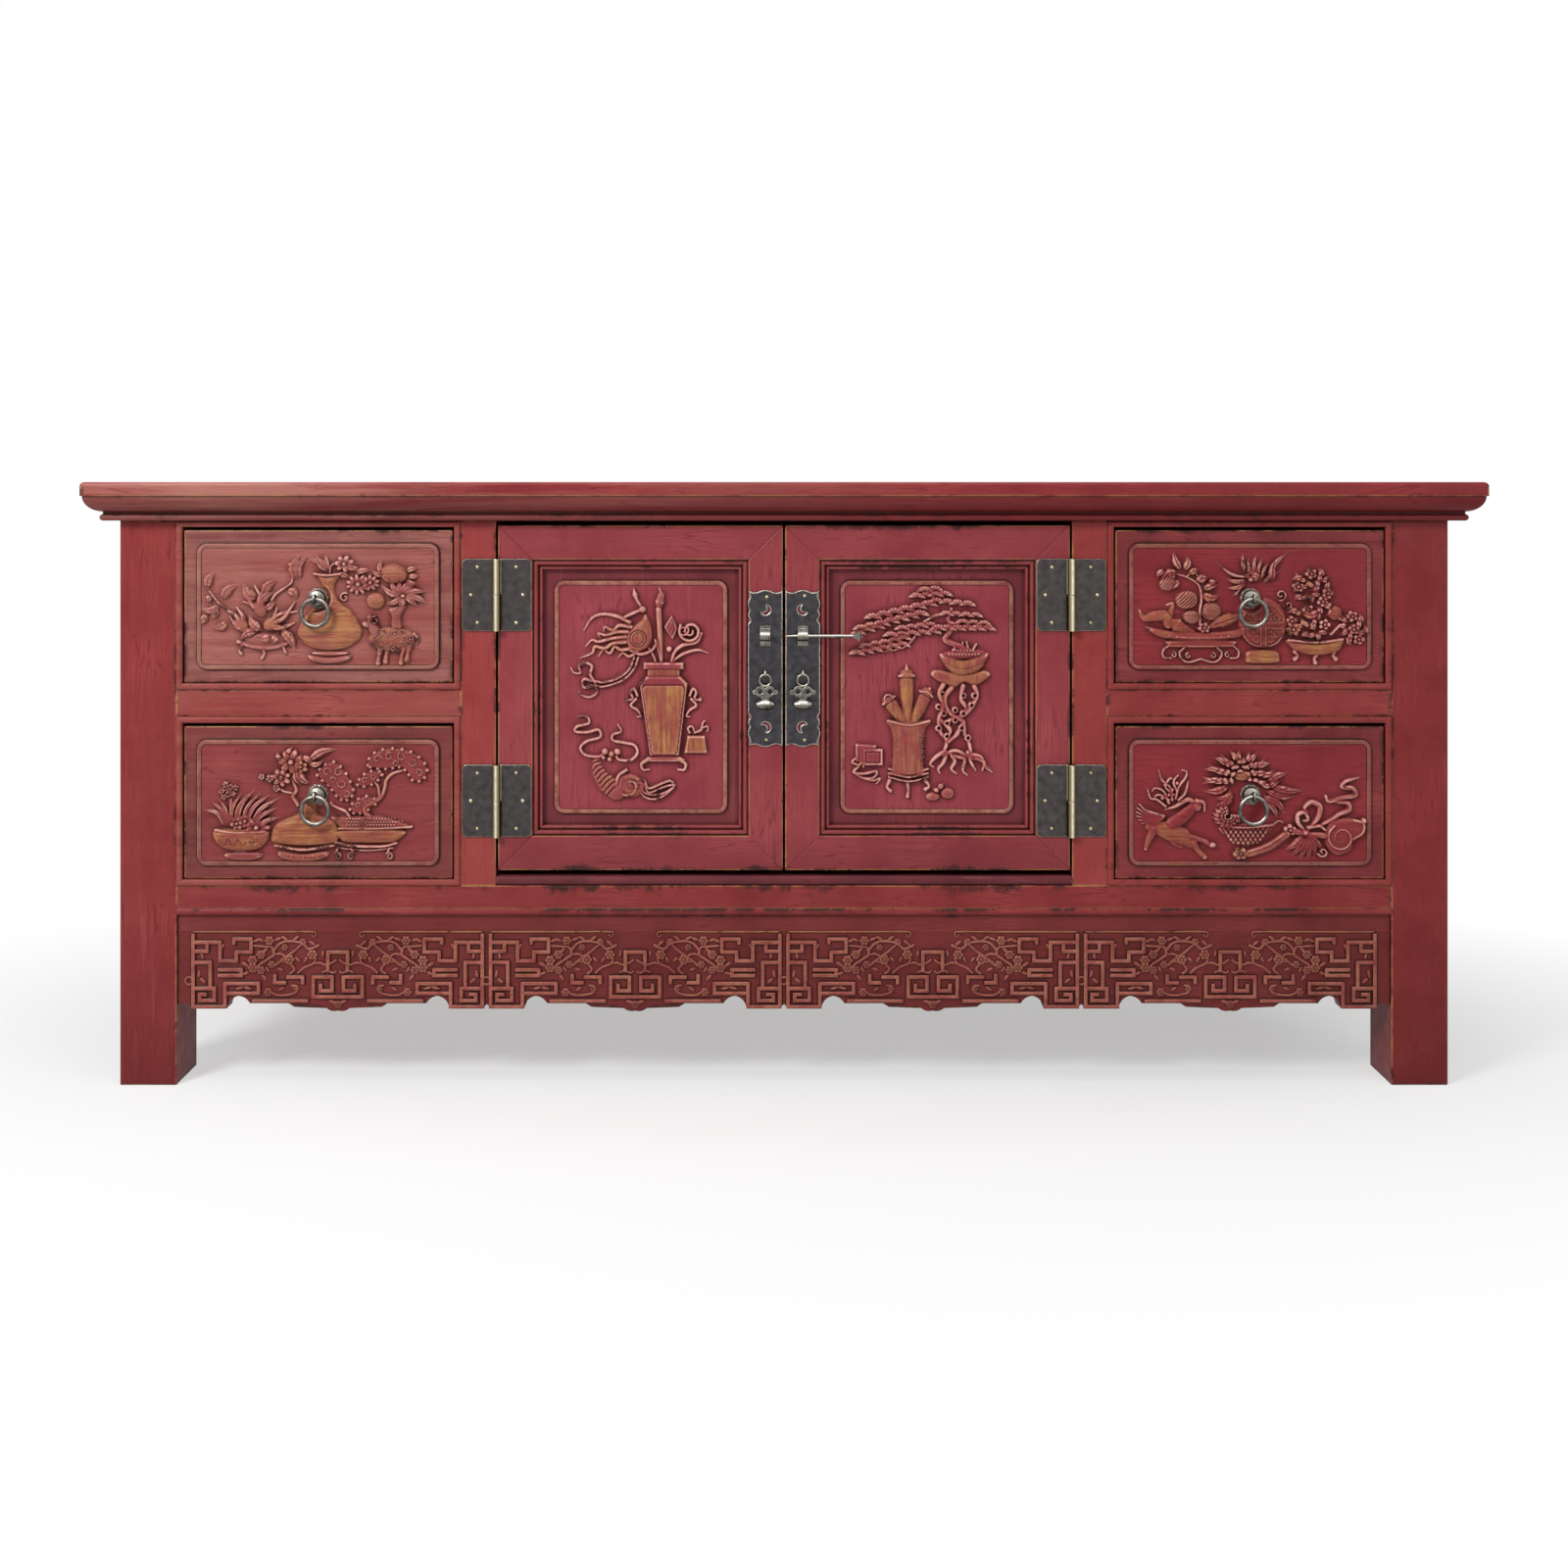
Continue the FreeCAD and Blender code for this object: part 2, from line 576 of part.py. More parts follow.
# Drawers: carved front, box, rosette with its eye, and ring.
def make_drawer(side_name, side, row_name):
    label = f"drawer_{row_name}_{side_name}"
    clear = S.bead_width + S.drawer_side_gap
    x = inset(span(side, STILE_OUT_X, LEG_X), clear)
    base = OPENING_ZS[row_name] + S.bead_width + S.drawer_bottom_gap
    z = (base, OPENING_ZS[row_name] + S.drawer_opening_height - S.bead_width - S.drawer_top_gap)
    back = FRONT_Y + S.drawer_front_thick
    front = doc.addObject("PartDesign::Body", f"{label}_front")
    pad_forward(front, back, FRONT_Y, [rectangle(x, z)])
    raised_field(front, inset(x, S.drawer_line_inset), inset(z, S.drawer_line_inset), FRONT_Y)
    keep(f"{label}_front", front)

    y = (back, BACK_PANEL_Y - S.drawer_back_gap)
    wall_z = (base, base + S.drawer_box_height)
    inner = inset(x, S.drawer_side_thick)
    bottom = base + S.drawer_bottom_rise
    walls = [
        board(f"{label}_side_low", (x[0], inner[0]), y, wall_z),
        board(f"{label}_side_high", (inner[1], x[1]), y, wall_z),
        board(f"{label}_back", inner, (y[1] - S.drawer_side_thick, y[1]), wall_z),
        board(f"{label}_bottom", inner, (back, y[1] - S.drawer_side_thick),
              (bottom, bottom + S.drawer_bottom_thick)),
    ]
    keep(f"{label}_box", group(f"{label}_box", walls))

    middle = (x[0] + x[1]) / 2
    eye_z = (z[0] + z[1]) / 2 + S.pull_rise
    field = FRONT_Y - S.field_proud
    rosette = shaped(f"{label}_pull", pull_shape())
    rosette.Placement = Placement(Vector(float(middle), float(field), float(eye_z)), Rotation())
    keep(f"{label}_pull", rosette)

    hang = S.pull_eye_radius - S.pull_eye_wire - S.ring_wire - S.running_gap
    ring = shaped(f"{label}_ring", wire_ring(float(S.ring_radius), float(S.ring_wire), Vector(0, 1, 0)))
    ring.Placement = Placement(Vector(float(middle), float(field - S.pull_eye_reach),
                                      float(eye_z - hang - S.ring_radius)), Rotation())
    keep(f"{label}_ring", ring)


def wire_ring(radius, wire, axis):
    """A ring of cast wire about an axis through the origin, its section a polygon."""
    out = axis.cross(Vector(0, 0, 1))
    turns = [2 * math.pi * (side + 0.5) / WIRE_SIDES for side in range(WIRE_SIDES)]
    points = [out * (radius + wire * math.cos(turn)) + axis * (wire * math.sin(turn)) for turn in turns]
    return Part.Face(Part.makePolygon(points + points[:1])).revolve(Vector(), axis, 360)


def eye_shape(radius, wire, reach, post):
    """A standing eye on a post, its hole along X, from a face at Y = 0 forwards."""
    eye = wire_ring(radius, wire, Vector(1, 0, 0))
    eye.translate(Vector(0, -reach, 0))
    stem = Part.makeCylinder(post, reach - radius, Vector(0, 0, 0), Vector(0, -1, 0))
    return eye.fuse(stem)


def rosette_face():
    """The rosette's lobed plate in X and Z."""
    lobes = int(float(S.rosette_lobes))
    edge = float(S.rosette_radius)
    valley = edge * math.cos(math.pi / lobes) * 0.93
    turns = [2 * math.pi * (lobe + 0.5) / lobes for lobe in range(lobes)]
    points = [(valley * math.cos(turn), valley * math.sin(turn), valley - edge) for turn in turns]
    return Part.Face(curved(points, "y"))


def fluted(edge, depth):
    """A star of ridges and flutes in X and Z, at a depth in front of a face at Y = 0."""
    ridges = 2 * int(float(S.rosette_lobes))
    points = []
    for index in range(2 * ridges):
        turn = math.pi * index / ridges
        away = edge - float(S.drum_flute) * (index % 2)
        points.append(Vector(away * math.cos(turn), -depth, away * math.sin(turn)))
    return Part.makePolygon(points + points[:1])


def pull_shape():
    """A lobed rosette under a fluted drum with a low cap, and the eye that holds the ring."""
    thick = float(S.rosette_thick)
    plate = rosette_face().extrude(Vector(0, -thick, 0))
    crown = thick + float(S.drum_height)
    top = float(S.drum_top_radius)
    drum = Part.makeLoft([fluted(float(S.drum_radius), thick), fluted(top, crown)], True, True)
    cap = Part.makeCone(top - float(S.drum_flute), float(S.cap_radius), float(S.cap_height),
                        Vector(0, -crown, 0), Vector(0, -1, 0))
    wire = float(S.pull_eye_wire)
    eye = eye_shape(float(S.pull_eye_radius), wire, float(S.pull_eye_reach), wire * 1.3)
    return plate.fuse([drum, cap, eye]).removeSplitter()


# Doors: mitred frame with a stepped moulding, rebated panel, hinges and lock fittings.
def door_section(edge, inward, depth_first):
    """Section of a frame member, from its outer edge inwards and from the front backwards."""
    flat = S.door_frame_width
    bead = flat + S.moulding_quirk
    inner_bead = bead + S.moulding_bead + S.moulding_quirk
    lip = flat + MOULDING_WIDTH
    rebate = lip - S.door_rebate
    turn = HALF_ROUND / 2 * (-inward if depth_first else inward)
    points = [
        (dim(0), dim(0)), (flat, dim(0)), (flat, S.moulding_drop), (bead, S.moulding_drop),
        (bead + S.moulding_bead, S.moulding_drop, S.moulding_bead * turn),
        (bead + S.moulding_bead, S.moulding_inner_drop), (inner_bead, S.moulding_inner_drop),
        (lip, S.moulding_inner_drop, S.moulding_inner_bead * turn),
        (lip, S.door_lip_thick), (rebate, S.door_lip_thick), (rebate, S.door_thick), (dim(0), S.door_thick),
    ]
    placed = [(edge + across * inward, FRONT_Y + depth, *radius) for across, depth, *radius in points]
    return [(depth, across, *radius) for across, depth, *radius in placed] if depth_first else placed


def make_door(side_name, side):
    x = span(side, DOOR_IN_X, DOOR_OUT_X)
    z = (DOOR_Z, DOOR_TOP_Z)
    lip = S.door_frame_width + MOULDING_WIDTH
    stiles = []
    for edge, inward in ((x[0], 1), (x[1], -1)):
        section = door_section(edge, inward, False)
        stile = pad(f"door_{side_name}_stile", "XY_Plane", z[0], [section], z[1] - z[0])
        inner = edge + lip * inward
        ends = [[(edge, z[0]), (inner, z[0]), (inner, z[0] + lip)],
                [(edge, z[1]), (inner, z[1]), (inner, z[1] - lip)]]
        stiles.append(mitred(stile, "XZ_Plane", 1 - FRONT_Y, ends, S.door_thick + 2))
    keep(f"door_{side_name}_stiles", group(f"door_{side_name}_stiles", stiles))
    rails = []
    for edge, inward in ((z[0], 1), (z[1], -1)):
        section = door_section(edge, inward, True)
        rail = pad(f"door_{side_name}_rail", "YZ_Plane", x[0], [section], x[1] - x[0])
        inner = edge + lip * inward
        ends = [[(x[0], edge), (x[0] + lip, inner), (x[0], inner)],
                [(x[1], edge), (x[1] - lip, inner), (x[1], inner)]]
        rails.append(mitred(rail, "XZ_Plane", 1 - FRONT_Y, ends, S.door_thick + 2))
    keep(f"door_{side_name}_rails", group(f"door_{side_name}_rails", rails))

    rebate = lip - S.door_rebate
    face = FRONT_Y + S.door_lip_thick
    panel = doc.addObject("PartDesign::Body", f"door_{side_name}_panel")
    pad_forward(panel, DOOR_BACK_Y, face, [rectangle(inset(x, rebate), inset(z, rebate))])
    line = lip + S.door_line_inset
    raised_field(panel, inset(x, line), inset(z, line), face)
    keep(f"door_{side_name}_panel", panel)


def leaf_shape(direction, fixed):
    """One hinge leaf with notched corners and its knuckle; direction is where the leaf reaches in X."""
    half = float(S.hinge_height) / 2
    near = float(S.barrel_radius + S.running_gap)
    far = near + float(S.leaf_width)
    notch = float(S.leaf_notch)
    sag = -notch * 0.3 * direction
    points = [(near, -half), (far - notch, -half), (far, notch - half, sag), (far, half - notch),
              (far - notch, half, sag), (near, half)]
    points = [(direction * across, *rest) for across, *rest in points]
    leaf = Part.Face(curved(points, "y")).extrude(Vector(0, -float(S.leaf_thick), 0))
    length = half - float(S.knuckle_gap) / 2
    base = -half if fixed else half - length
    barrel = float(S.barrel_radius)
    axis_y = -float(S.barrel_radius + S.running_gap)
    knuckle = Part.makeCylinder(barrel, length, Vector(0, axis_y, base))
    tab = Part.makeBox(near + 1, float(S.leaf_thick), length,
                       Vector(min(0, direction * (near + 1)), -float(S.leaf_thick), base))
    bore = float(S.pin_radius + S.pin_gap)
    hole = Part.makeCylinder(bore, float(S.hinge_height) * 2, Vector(0, axis_y, -float(S.hinge_height)))
    return leaf.fuse([tab, knuckle]).cut(hole).removeSplitter()


def make_hinges():
    fixed = []
    pins = []
    for side_name, side in SIDES:
        moving = []
        for index, height in enumerate(HINGE_ZS):
            place = Placement(Vector(float(BARREL_X) * side, float(FRONT_Y), float(height)), Rotation())
            for leaves, direction, stays in ((fixed, side, True), (moving, -side, False)):
                leaf = shaped(f"hinge_leaf_{side_name}_{index}", leaf_shape(direction, stays))
                leaf.Placement = place
                leaves.append(leaf)
            pin = doc.addObject("Part::Cylinder", f"hinge_pin_{side_name}_{index}")
            pin.setExpression("Radius", S.pin_radius.text)
            pin.setExpression("Height", S.hinge_height.text)
            for axis, spot in zip("xyz", (BARREL_X * side, BARREL_Y, height - S.hinge_height / 2)):
                pin.setExpression(f"Placement.Base.{axis}", spot.text)
            pins.append(pin)
        keep(f"door_{side_name}_hinge_leaves", group(f"door_{side_name}_hinge_leaves", moving))
    keep("hinge_leaves_fixed", group("hinge_leaves_fixed", fixed))
    keep("hinge_pins", group("hinge_pins", pins))


def plate_shape(side):
    """A lock plate with a straight inner edge, wavy ends and two crescent cut-outs, on a face at Y = 0."""
    width = float(S.plate_width)
    half = float(S.plate_height) / 2
    thick = float(S.plate_thick)
    end = [(width, half - 41), (width - 2.5, half - 35, 1.2), (width - 2.5, half - 25, -2.2),
           (width - 2, half - 10, -2.4), (width, half, 1.4), (width * 0.68, half - 2, 2.2),
           (width * 0.32, half - 2, -1.8), (0, half - 1, 2.0)]
    sags = [point[2:] for point in end] + [()]
    other = [(point[0], -point[1], *sag) for point, sag in list(zip(end, sags[1:]))[::-1]]
    points = [(side * point[0], point[1], *(side * sag for sag in point[2:])) for point in end + other]
    plate = Part.Face(curved(points, "y")).extrude(Vector(0, -thick, 0))
    for upright in (-1, 1):
        centre = Vector(side * width / 2, 1, upright * (half - 24))
        moon = Part.makeCylinder(6.5, thick + 2, centre, Vector(0, -1, 0))
        aside = Vector(side * 2.6, 0, upright * 1.6)
        bite = Part.makeCylinder(5.6, thick + 2, centre + aside, Vector(0, -1, 0))
        plate = plate.cut(moon.cut(bite))
    return plate


def loop_shape():
    """A stepped strap with a square hole for the bolt, centred on X, on a face at Y = 0."""
    half = float(S.loop_height) / 2
    reach = float(S.bolt_reach)
    step = half / 4
    rise = reach / 3.2
    bore = float(S.bolt_radius + S.bolt_gap)
    crown = reach + bore + 2
    points = [(0, half), (-rise, half), (-rise, half - step), (-2 * rise, half - step),
              (-2 * rise, half - 2 * step), (-2 * rise, 2 * step - half, 2 * rise - crown),
              (-2 * rise, step - half), (-rise, step - half), (-rise, -half), (0, -half)]
    width = float(S.loop_width)
    strap = Part.Face(curved(points, "x")).extrude(Vector(width, 0, 0))
    strap.translate(Vector(-width / 2, 0, 0))
    return strap.cut(Part.makeBox(width * 2, bore * 2, bore * 2, Vector(-width, -reach - bore, -bore)))


def pendant_shape():
    """A cast pendant, hanging from the middle of its bail's wire at the origin."""
    bail = float(S.bail_radius)
    thick = float(S.pendant_thick)
    scroll = float(S.scroll_radius)

    def disc(radius, x, z):
        return Part.makeCylinder(radius, thick, Vector(x, thick / 2, z), Vector(0, -1, 0))

    scroll_z = -2 * bail - scroll
    offset = scroll * 0.9
    stem = disc(scroll * 0.8, 0, scroll_z - scroll)
    body = stem.fuse([disc(scroll, side * offset, scroll_z) for _, side in SIDES])
    for _, side in SIDES:
        body = body.cut(disc(float(S.scroll_hole), side * offset * 1.08, scroll_z))
    knobs = [disc(float(S.knob_radius), side * float(S.knob_offset), scroll_z - 1) for _, side in SIDES]

    half = float(S.lump_length) / 2
    radius = float(S.lump_height) / 2
    profile = [Vector(along * half, 0, out * radius)
               for along, out in ((-1, 0), (-0.85, 0.5), (-0.4, 0.93), (0.4, 0.93), (0.85, 0.5), (1, 0))]
    lump = Part.Face(Part.makePolygon(profile + profile[:1])).revolve(Vector(), Vector(1, 0, 0), 360)
    lump.translate(Vector(0, 0, scroll_z - scroll * 1.6 - radius))
    ring = wire_ring(bail, float(S.bail_wire), Vector(0, 1, 0))
    ring.translate(Vector(0, 0, -bail))
    return body.fuse([ring, lump] + knobs)


def make_lock(side_name, side):
    edge = float(DOOR_IN_X + S.plate_edge_gap) * side
    plate = shaped(f"door_{side_name}_lock_plate", plate_shape(side))
    plate.Placement = Placement(Vector(edge, float(FRONT_Y), float(PLATE_Z)), Rotation())
    keep(f"door_{side_name}_lock_plate", plate)

    across = float(S.loop_offset) * side
    loop = shaped(f"door_{side_name}_bolt_loop", loop_shape())
    loop.Placement = Placement(Vector(across, float(PLATE_Y), float(BOLT_Z)), Rotation())
    eye = shaped(f"door_{side_name}_pendant_eye",
                 eye_shape(float(S.pendant_eye_radius), float(S.pendant_eye_wire), float(S.pendant_eye_reach),
                           float(S.pendant_eye_wire) * 1.4))
    eye.Placement = Placement(Vector(across, float(PLATE_Y), float(PENDANT_EYE_Z)), Rotation())
    keep(f"door_{side_name}_staples", group(f"door_{side_name}_staples", [loop, eye]))

    hang = S.pendant_eye_radius - S.pendant_eye_wire - S.bail_wire - S.running_gap
    pendant = shaped(f"door_{side_name}_pendant", pendant_shape())
    pendant.Placement = Placement(Vector(across, float(PENDANT_Y), float(PENDANT_EYE_Z - hang)), Rotation())
    keep(f"door_{side_name}_pendant", pendant)


def make_bolt():
    """The bolt, drawn back into the right door: a tapered rod with a faceted head."""
    radius = float(S.bolt_radius)
    tip = float(S.bolt_tip)
    head = float(S.bolt_head)
    rod_end = float(S.bolt_length) - head
    start = float(DOOR_IN_X) + 1
    rod = Part.makeCylinder(radius, rod_end - tip, Vector(tip, 0, 0), Vector(1, 0, 0))
    point = Part.makeCone(radius * 0.55, radius, tip, Vector(0, 0, 0), Vector(1, 0, 0))
    half = head * 0.46
    square = [Vector(rod_end + head / 2, y * half, z * half) for y, z in ((-1, -1), (1, -1), (1, 1), (-1, 1))]
    faces = []
    for apex in (Vector(rod_end - 2, 0, 0), Vector(rod_end + head, 0, 0)):
        for one, two in zip(square, square[1:] + square[:1]):
            faces.append(Part.Face(Part.makePolygon([one, two, apex, one])))
    knob = Part.Solid(Part.Shell(faces))
    if knob.Volume < 0:
        knob.reverse()
    bolt = shaped("bolt", rod.fuse([point, knob]).removeSplitter())
    bolt.Placement = Placement(Vector(start, float(BOLT_Y), float(BOLT_Z)), Rotation())
    keep("bolt", bolt)


def check():
    """Stop at any failed object or unsound sub-part."""
    doc.recompute()
    for piece in doc.Objects:
        if {"Invalid", "Error"} & set(piece.State):
            raise RuntimeError(f"{piece.Label} failed: {piece.State}")
    for label, piece in nodes.items():
        if piece.Shape.isNull() or not piece.Shape.isValid() or not piece.Shape.Solids:
            raise RuntimeError(f"{label} has no sound solid")


make_top()
make_legs()
make_front_frame()
make_opening_beads()
make_sides_and_back()
make_inside()
make_apron()
for side_name, side in SIDES:
    for row_name in ROWS:
        make_drawer(side_name, side, row_name)
    make_door(side_name, side)
    make_lock(side_name, side)
make_hinges()
make_bolt()
check()

os.makedirs("parts", exist_ok=True)
for label, piece in nodes.items():
    piece.Shape.exportStep(f"parts/{label}.step")
print(f"{len(nodes)} sub-parts written")
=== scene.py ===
"""Worn red lacquer console with carved doors and drawers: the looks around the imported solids.

Metres in the scene, millimetres in the drawings. The front faces -Y.
"""
import math

import bpy
import numpy as np
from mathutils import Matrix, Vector


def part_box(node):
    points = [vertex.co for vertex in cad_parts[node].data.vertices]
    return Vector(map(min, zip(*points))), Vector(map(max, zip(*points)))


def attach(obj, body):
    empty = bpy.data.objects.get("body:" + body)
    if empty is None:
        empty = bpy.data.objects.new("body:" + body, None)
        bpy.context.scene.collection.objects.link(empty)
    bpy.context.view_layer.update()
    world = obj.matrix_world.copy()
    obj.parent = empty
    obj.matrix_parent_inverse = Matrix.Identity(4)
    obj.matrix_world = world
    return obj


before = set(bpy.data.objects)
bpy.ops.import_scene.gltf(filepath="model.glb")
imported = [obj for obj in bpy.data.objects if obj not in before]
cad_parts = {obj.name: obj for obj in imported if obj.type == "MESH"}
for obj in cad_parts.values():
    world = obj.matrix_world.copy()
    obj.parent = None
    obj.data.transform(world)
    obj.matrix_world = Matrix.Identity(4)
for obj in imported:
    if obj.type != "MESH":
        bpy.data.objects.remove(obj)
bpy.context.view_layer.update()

MM = 0.001
SIDES = (("left", -1), ("right", 1))

# The photograph: 1600 pixels square, 1.2 mm to a pixel at the front of the legs.
PIXELS = 1600
MM_PER_PIXEL = 1.2
FOCAL_PIXELS = 1650
AHEAD = (782, 504)      # the point that the camera looks straight at
MIDDLE_PIXEL = 800      # the console's middle
FLOOR_PIXEL = 1107      # the feet of the front legs
SENSOR_MM = 36


def place_camera():
    """A level camera, shifted so that the console falls where the photograph has it."""
    data = bpy.data.cameras.new("camera")
    data.sensor_width = SENSOR_MM
    data.lens = SENSOR_MM * FOCAL_PIXELS / PIXELS
    data.shift_x = (PIXELS / 2 - AHEAD[0]) / PIXELS
    data.shift_y = (AHEAD[1] - PIXELS / 2) / PIXELS
    camera = bpy.data.objects.new("camera", data)
    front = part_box("leg_front_left")[0][1]
    camera.location = ((AHEAD[0] - MIDDLE_PIXEL) * MM_PER_PIXEL * MM,
                       front - FOCAL_PIXELS * MM_PER_PIXEL * MM,
                       (FLOOR_PIXEL - AHEAD[1]) * MM_PER_PIXEL * MM)
    camera.rotation_euler = (math.radians(90), 0, 0)
    bpy.context.collection.objects.link(camera)
    bpy.context.scene.camera = camera


def linear(text):
    """An sRGB hex colour as linear RGBA."""
    values = [int(text[i:i + 2], 16) / 255 for i in (1, 3, 5)]
    return tuple(v / 12.92 if v <= 0.04045 else ((v + 0.055) / 1.055) ** 2.4 for v in values) + (1,)


def scale_of(size_mm):
    """The texture scale that gives features of this size."""
    return 1 / (size_mm * MM)


def add(tree, kind, inputs=(), out=0, **settings):
    """Add a node with its settings and links, and give one of its outputs. Inputs are values or other
    nodes' outputs, in the sockets' order or by name."""
    node = tree.nodes.new(kind)
    for name, value in settings.items():
        setattr(node, name, value)
    for name, value in inputs.items() if isinstance(inputs, dict) else enumerate(inputs):
        if isinstance(value, bpy.types.NodeSocket):
            tree.links.new(value, node.inputs[name])
        else:
            node.inputs[name].default_value = value
    return node.outputs[out] if node.outputs else None


COORDS, MAPPING, SPLIT = "ShaderNodeTexCoord", "ShaderNodeMapping", "ShaderNodeSeparateXYZ"
NOISE, CELLS, ATTRIBUTE = "ShaderNodeTexNoise", "ShaderNodeTexVoronoi", "ShaderNodeAttribute"
RANGE, MIX, MATH, VECTOR = "ShaderNodeMapRange", "ShaderNodeMixRGB", "ShaderNodeMath", "ShaderNodeVectorMath"
BUMP, BEVEL, GEOMETRY = "ShaderNodeBump", "ShaderNodeBevel", "ShaderNodeNewGeometry"


def new_material(name):
    """An empty material with its shader, joined to the output."""
    material = bpy.data.materials.new(name)
    material.use_nodes = True
    tree = material.node_tree
    tree.nodes.clear()
    surface = add(tree, "ShaderNodeBsdfPrincipled")
    add(tree, "ShaderNodeOutputMaterial", {"Surface": surface})
    return material, tree, surface.node.inputs


def layered(tree, colour, layers):
    """Colours laid over one another, from (value, low, high, most, mask or None, sRGB colour): a layer
    grows from nothing at the low value to its most at the high one, where its mask lets it."""
    for value, low, high, most, mask, tint in layers:
        share = add(tree, RANGE, [value, low, high, 0, most])
        if mask is not None:
            share = add(tree, MATH, [share, mask], operation="MULTIPLY")
        colour = add(tree, MIX, [share, colour, linear(tint)])
    return colour


def rounded(tree, radius_mm, level, bent_away):
    """How far the rounded normal leaves the true one, 0 on a flat and 1 on an edge, and both normals."""
    bent = add(tree, BEVEL, [radius_mm * MM], samples=8)
    true = add(tree, GEOMETRY, out="Normal")
    flat = add(tree, VECTOR, [bent, true], out="Value", operation="DOT_PRODUCT")
    return add(tree, RANGE, [flat, level, bent_away]), bent, true


def edges(tree, radius_mm):
    """The edges of joinery, and their rounded normal. The mitred joints are left out: their normals lean
    both across and up."""
    edge, bent, _ = rounded(tree, radius_mm, 0.995, 0.80)
    own = add(tree, "ShaderNodeVectorTransform", [bent], vector_type="NORMAL", convert_from="WORLD",
              convert_to="OBJECT")
    own = add(tree, VECTOR, [own], operation="ABSOLUTE")
    across = add(tree, SPLIT, [own], "X")
    up = add(tree, SPLIT, [own], "Z")
    both = add(tree, MATH, [across, up], operation="MINIMUM")
    square = add(tree, RANGE, [both, 0.04, 0.12, 1, 0])
    return add(tree, MATH, [edge, square], operation="MULTIPLY"), bent


PIN_RADIUS = 2.5        # of the hinges
BARREL_RADIUS = 5.4
GRAIN = {"x": (0.06, 1, 1), "y": (1, 0.06, 1), "z": (1, 1, 0.06)}   # draws noise out along the wood
# Painted shade, where lacquer is painted darker towards a height: (Z where it starts to darken, Z where it is
# darkest, how much).
SHADE_AT_FEET = (0.25, 0.0, 0.4)
SHADE_UNDER_FASCIA = (0.722, 0.717, 0.45)
SHADE_AT_DOOR_FOOT = (0.33, 0.265, 0.3)
SHADE_ON_APRON_BAND = (0.187, 0.190, 0.4)
# Noises by name: (lies along the grain, size in mm, detail, roughness) for lacquer, (size, detail,
# roughness) for wood, all along the grain, and (size, detail) for metal.
LACQUER_NOISES = {"cloud": (False, 75, 6, 0.6), "streak": (True, 5, 5, 0.6), "patch": (False, 24, 7, 0.68),
                  "rubbed": (True, 11, 7, 0.7), "long": (True, 16, 6, 0.65), "torn": (False, 20, 9, 0.75),
                  "areas": (False, 130, 3, 0.5), "gold": (True, 4, 7, 0.7), "gloss": (False, 18, 5, 0.6)}
WOOD_NOISES = {"wide": (28, 5, 0.6), "fine": (3, 4, 0.6)}
METAL_NOISES = {"blotch": (9, 6), "rub": (4, 4), "cast": (2.2, 4)}

# What shows where lacquer is streaked, faded, carved and gilded, rubbed, chipped and cracked, and the painted
# shade and painted highlights laid over it.
BROWN_STREAK, PALE_STREAK, FADED_AND_LIT, SHADE_RED = "#561517", "#A8625A", "#C08A7C", "#4A1618"
GROUND_SHADE, FLANK_SHADE, CORNER_SHADE, HOLLOW_SHADE = "#42100F", "#450C0B", "#3A0A0A", "#3C0807"
GILT_WORN, GILT, SHADE = "#863C34", "#B98850", "#2A0707"
RIDGE_RUBBED_AND_LIT, RIDGE_HIGHLIGHT, RIDGE_OCHRE = "#B46C62", "#E6AEA4", "#B8874F"
EDGE_OCHRE, EDGE_BRIGHT, BARE_WOOD, CRACK = "#B08452", "#C08F58", "#2C1D1C", "#4A1214"
EDGE_ROUND = 4          # radius of a worn edge
CHIP_PULL = 0.24        # how much more readily lacquer chips on an edge
CHIP_START = 0.79       # the noise above which lacquer is gone, lowered by a material's chips
CHIP_RIM = 0.01         # from sound lacquer to none
CRAZE_SIZE = 5          # of the pieces between fine cracks
SHADE_REACH = 8         # of the painted shade in narrow places
SATIN = 0.13            # specular level


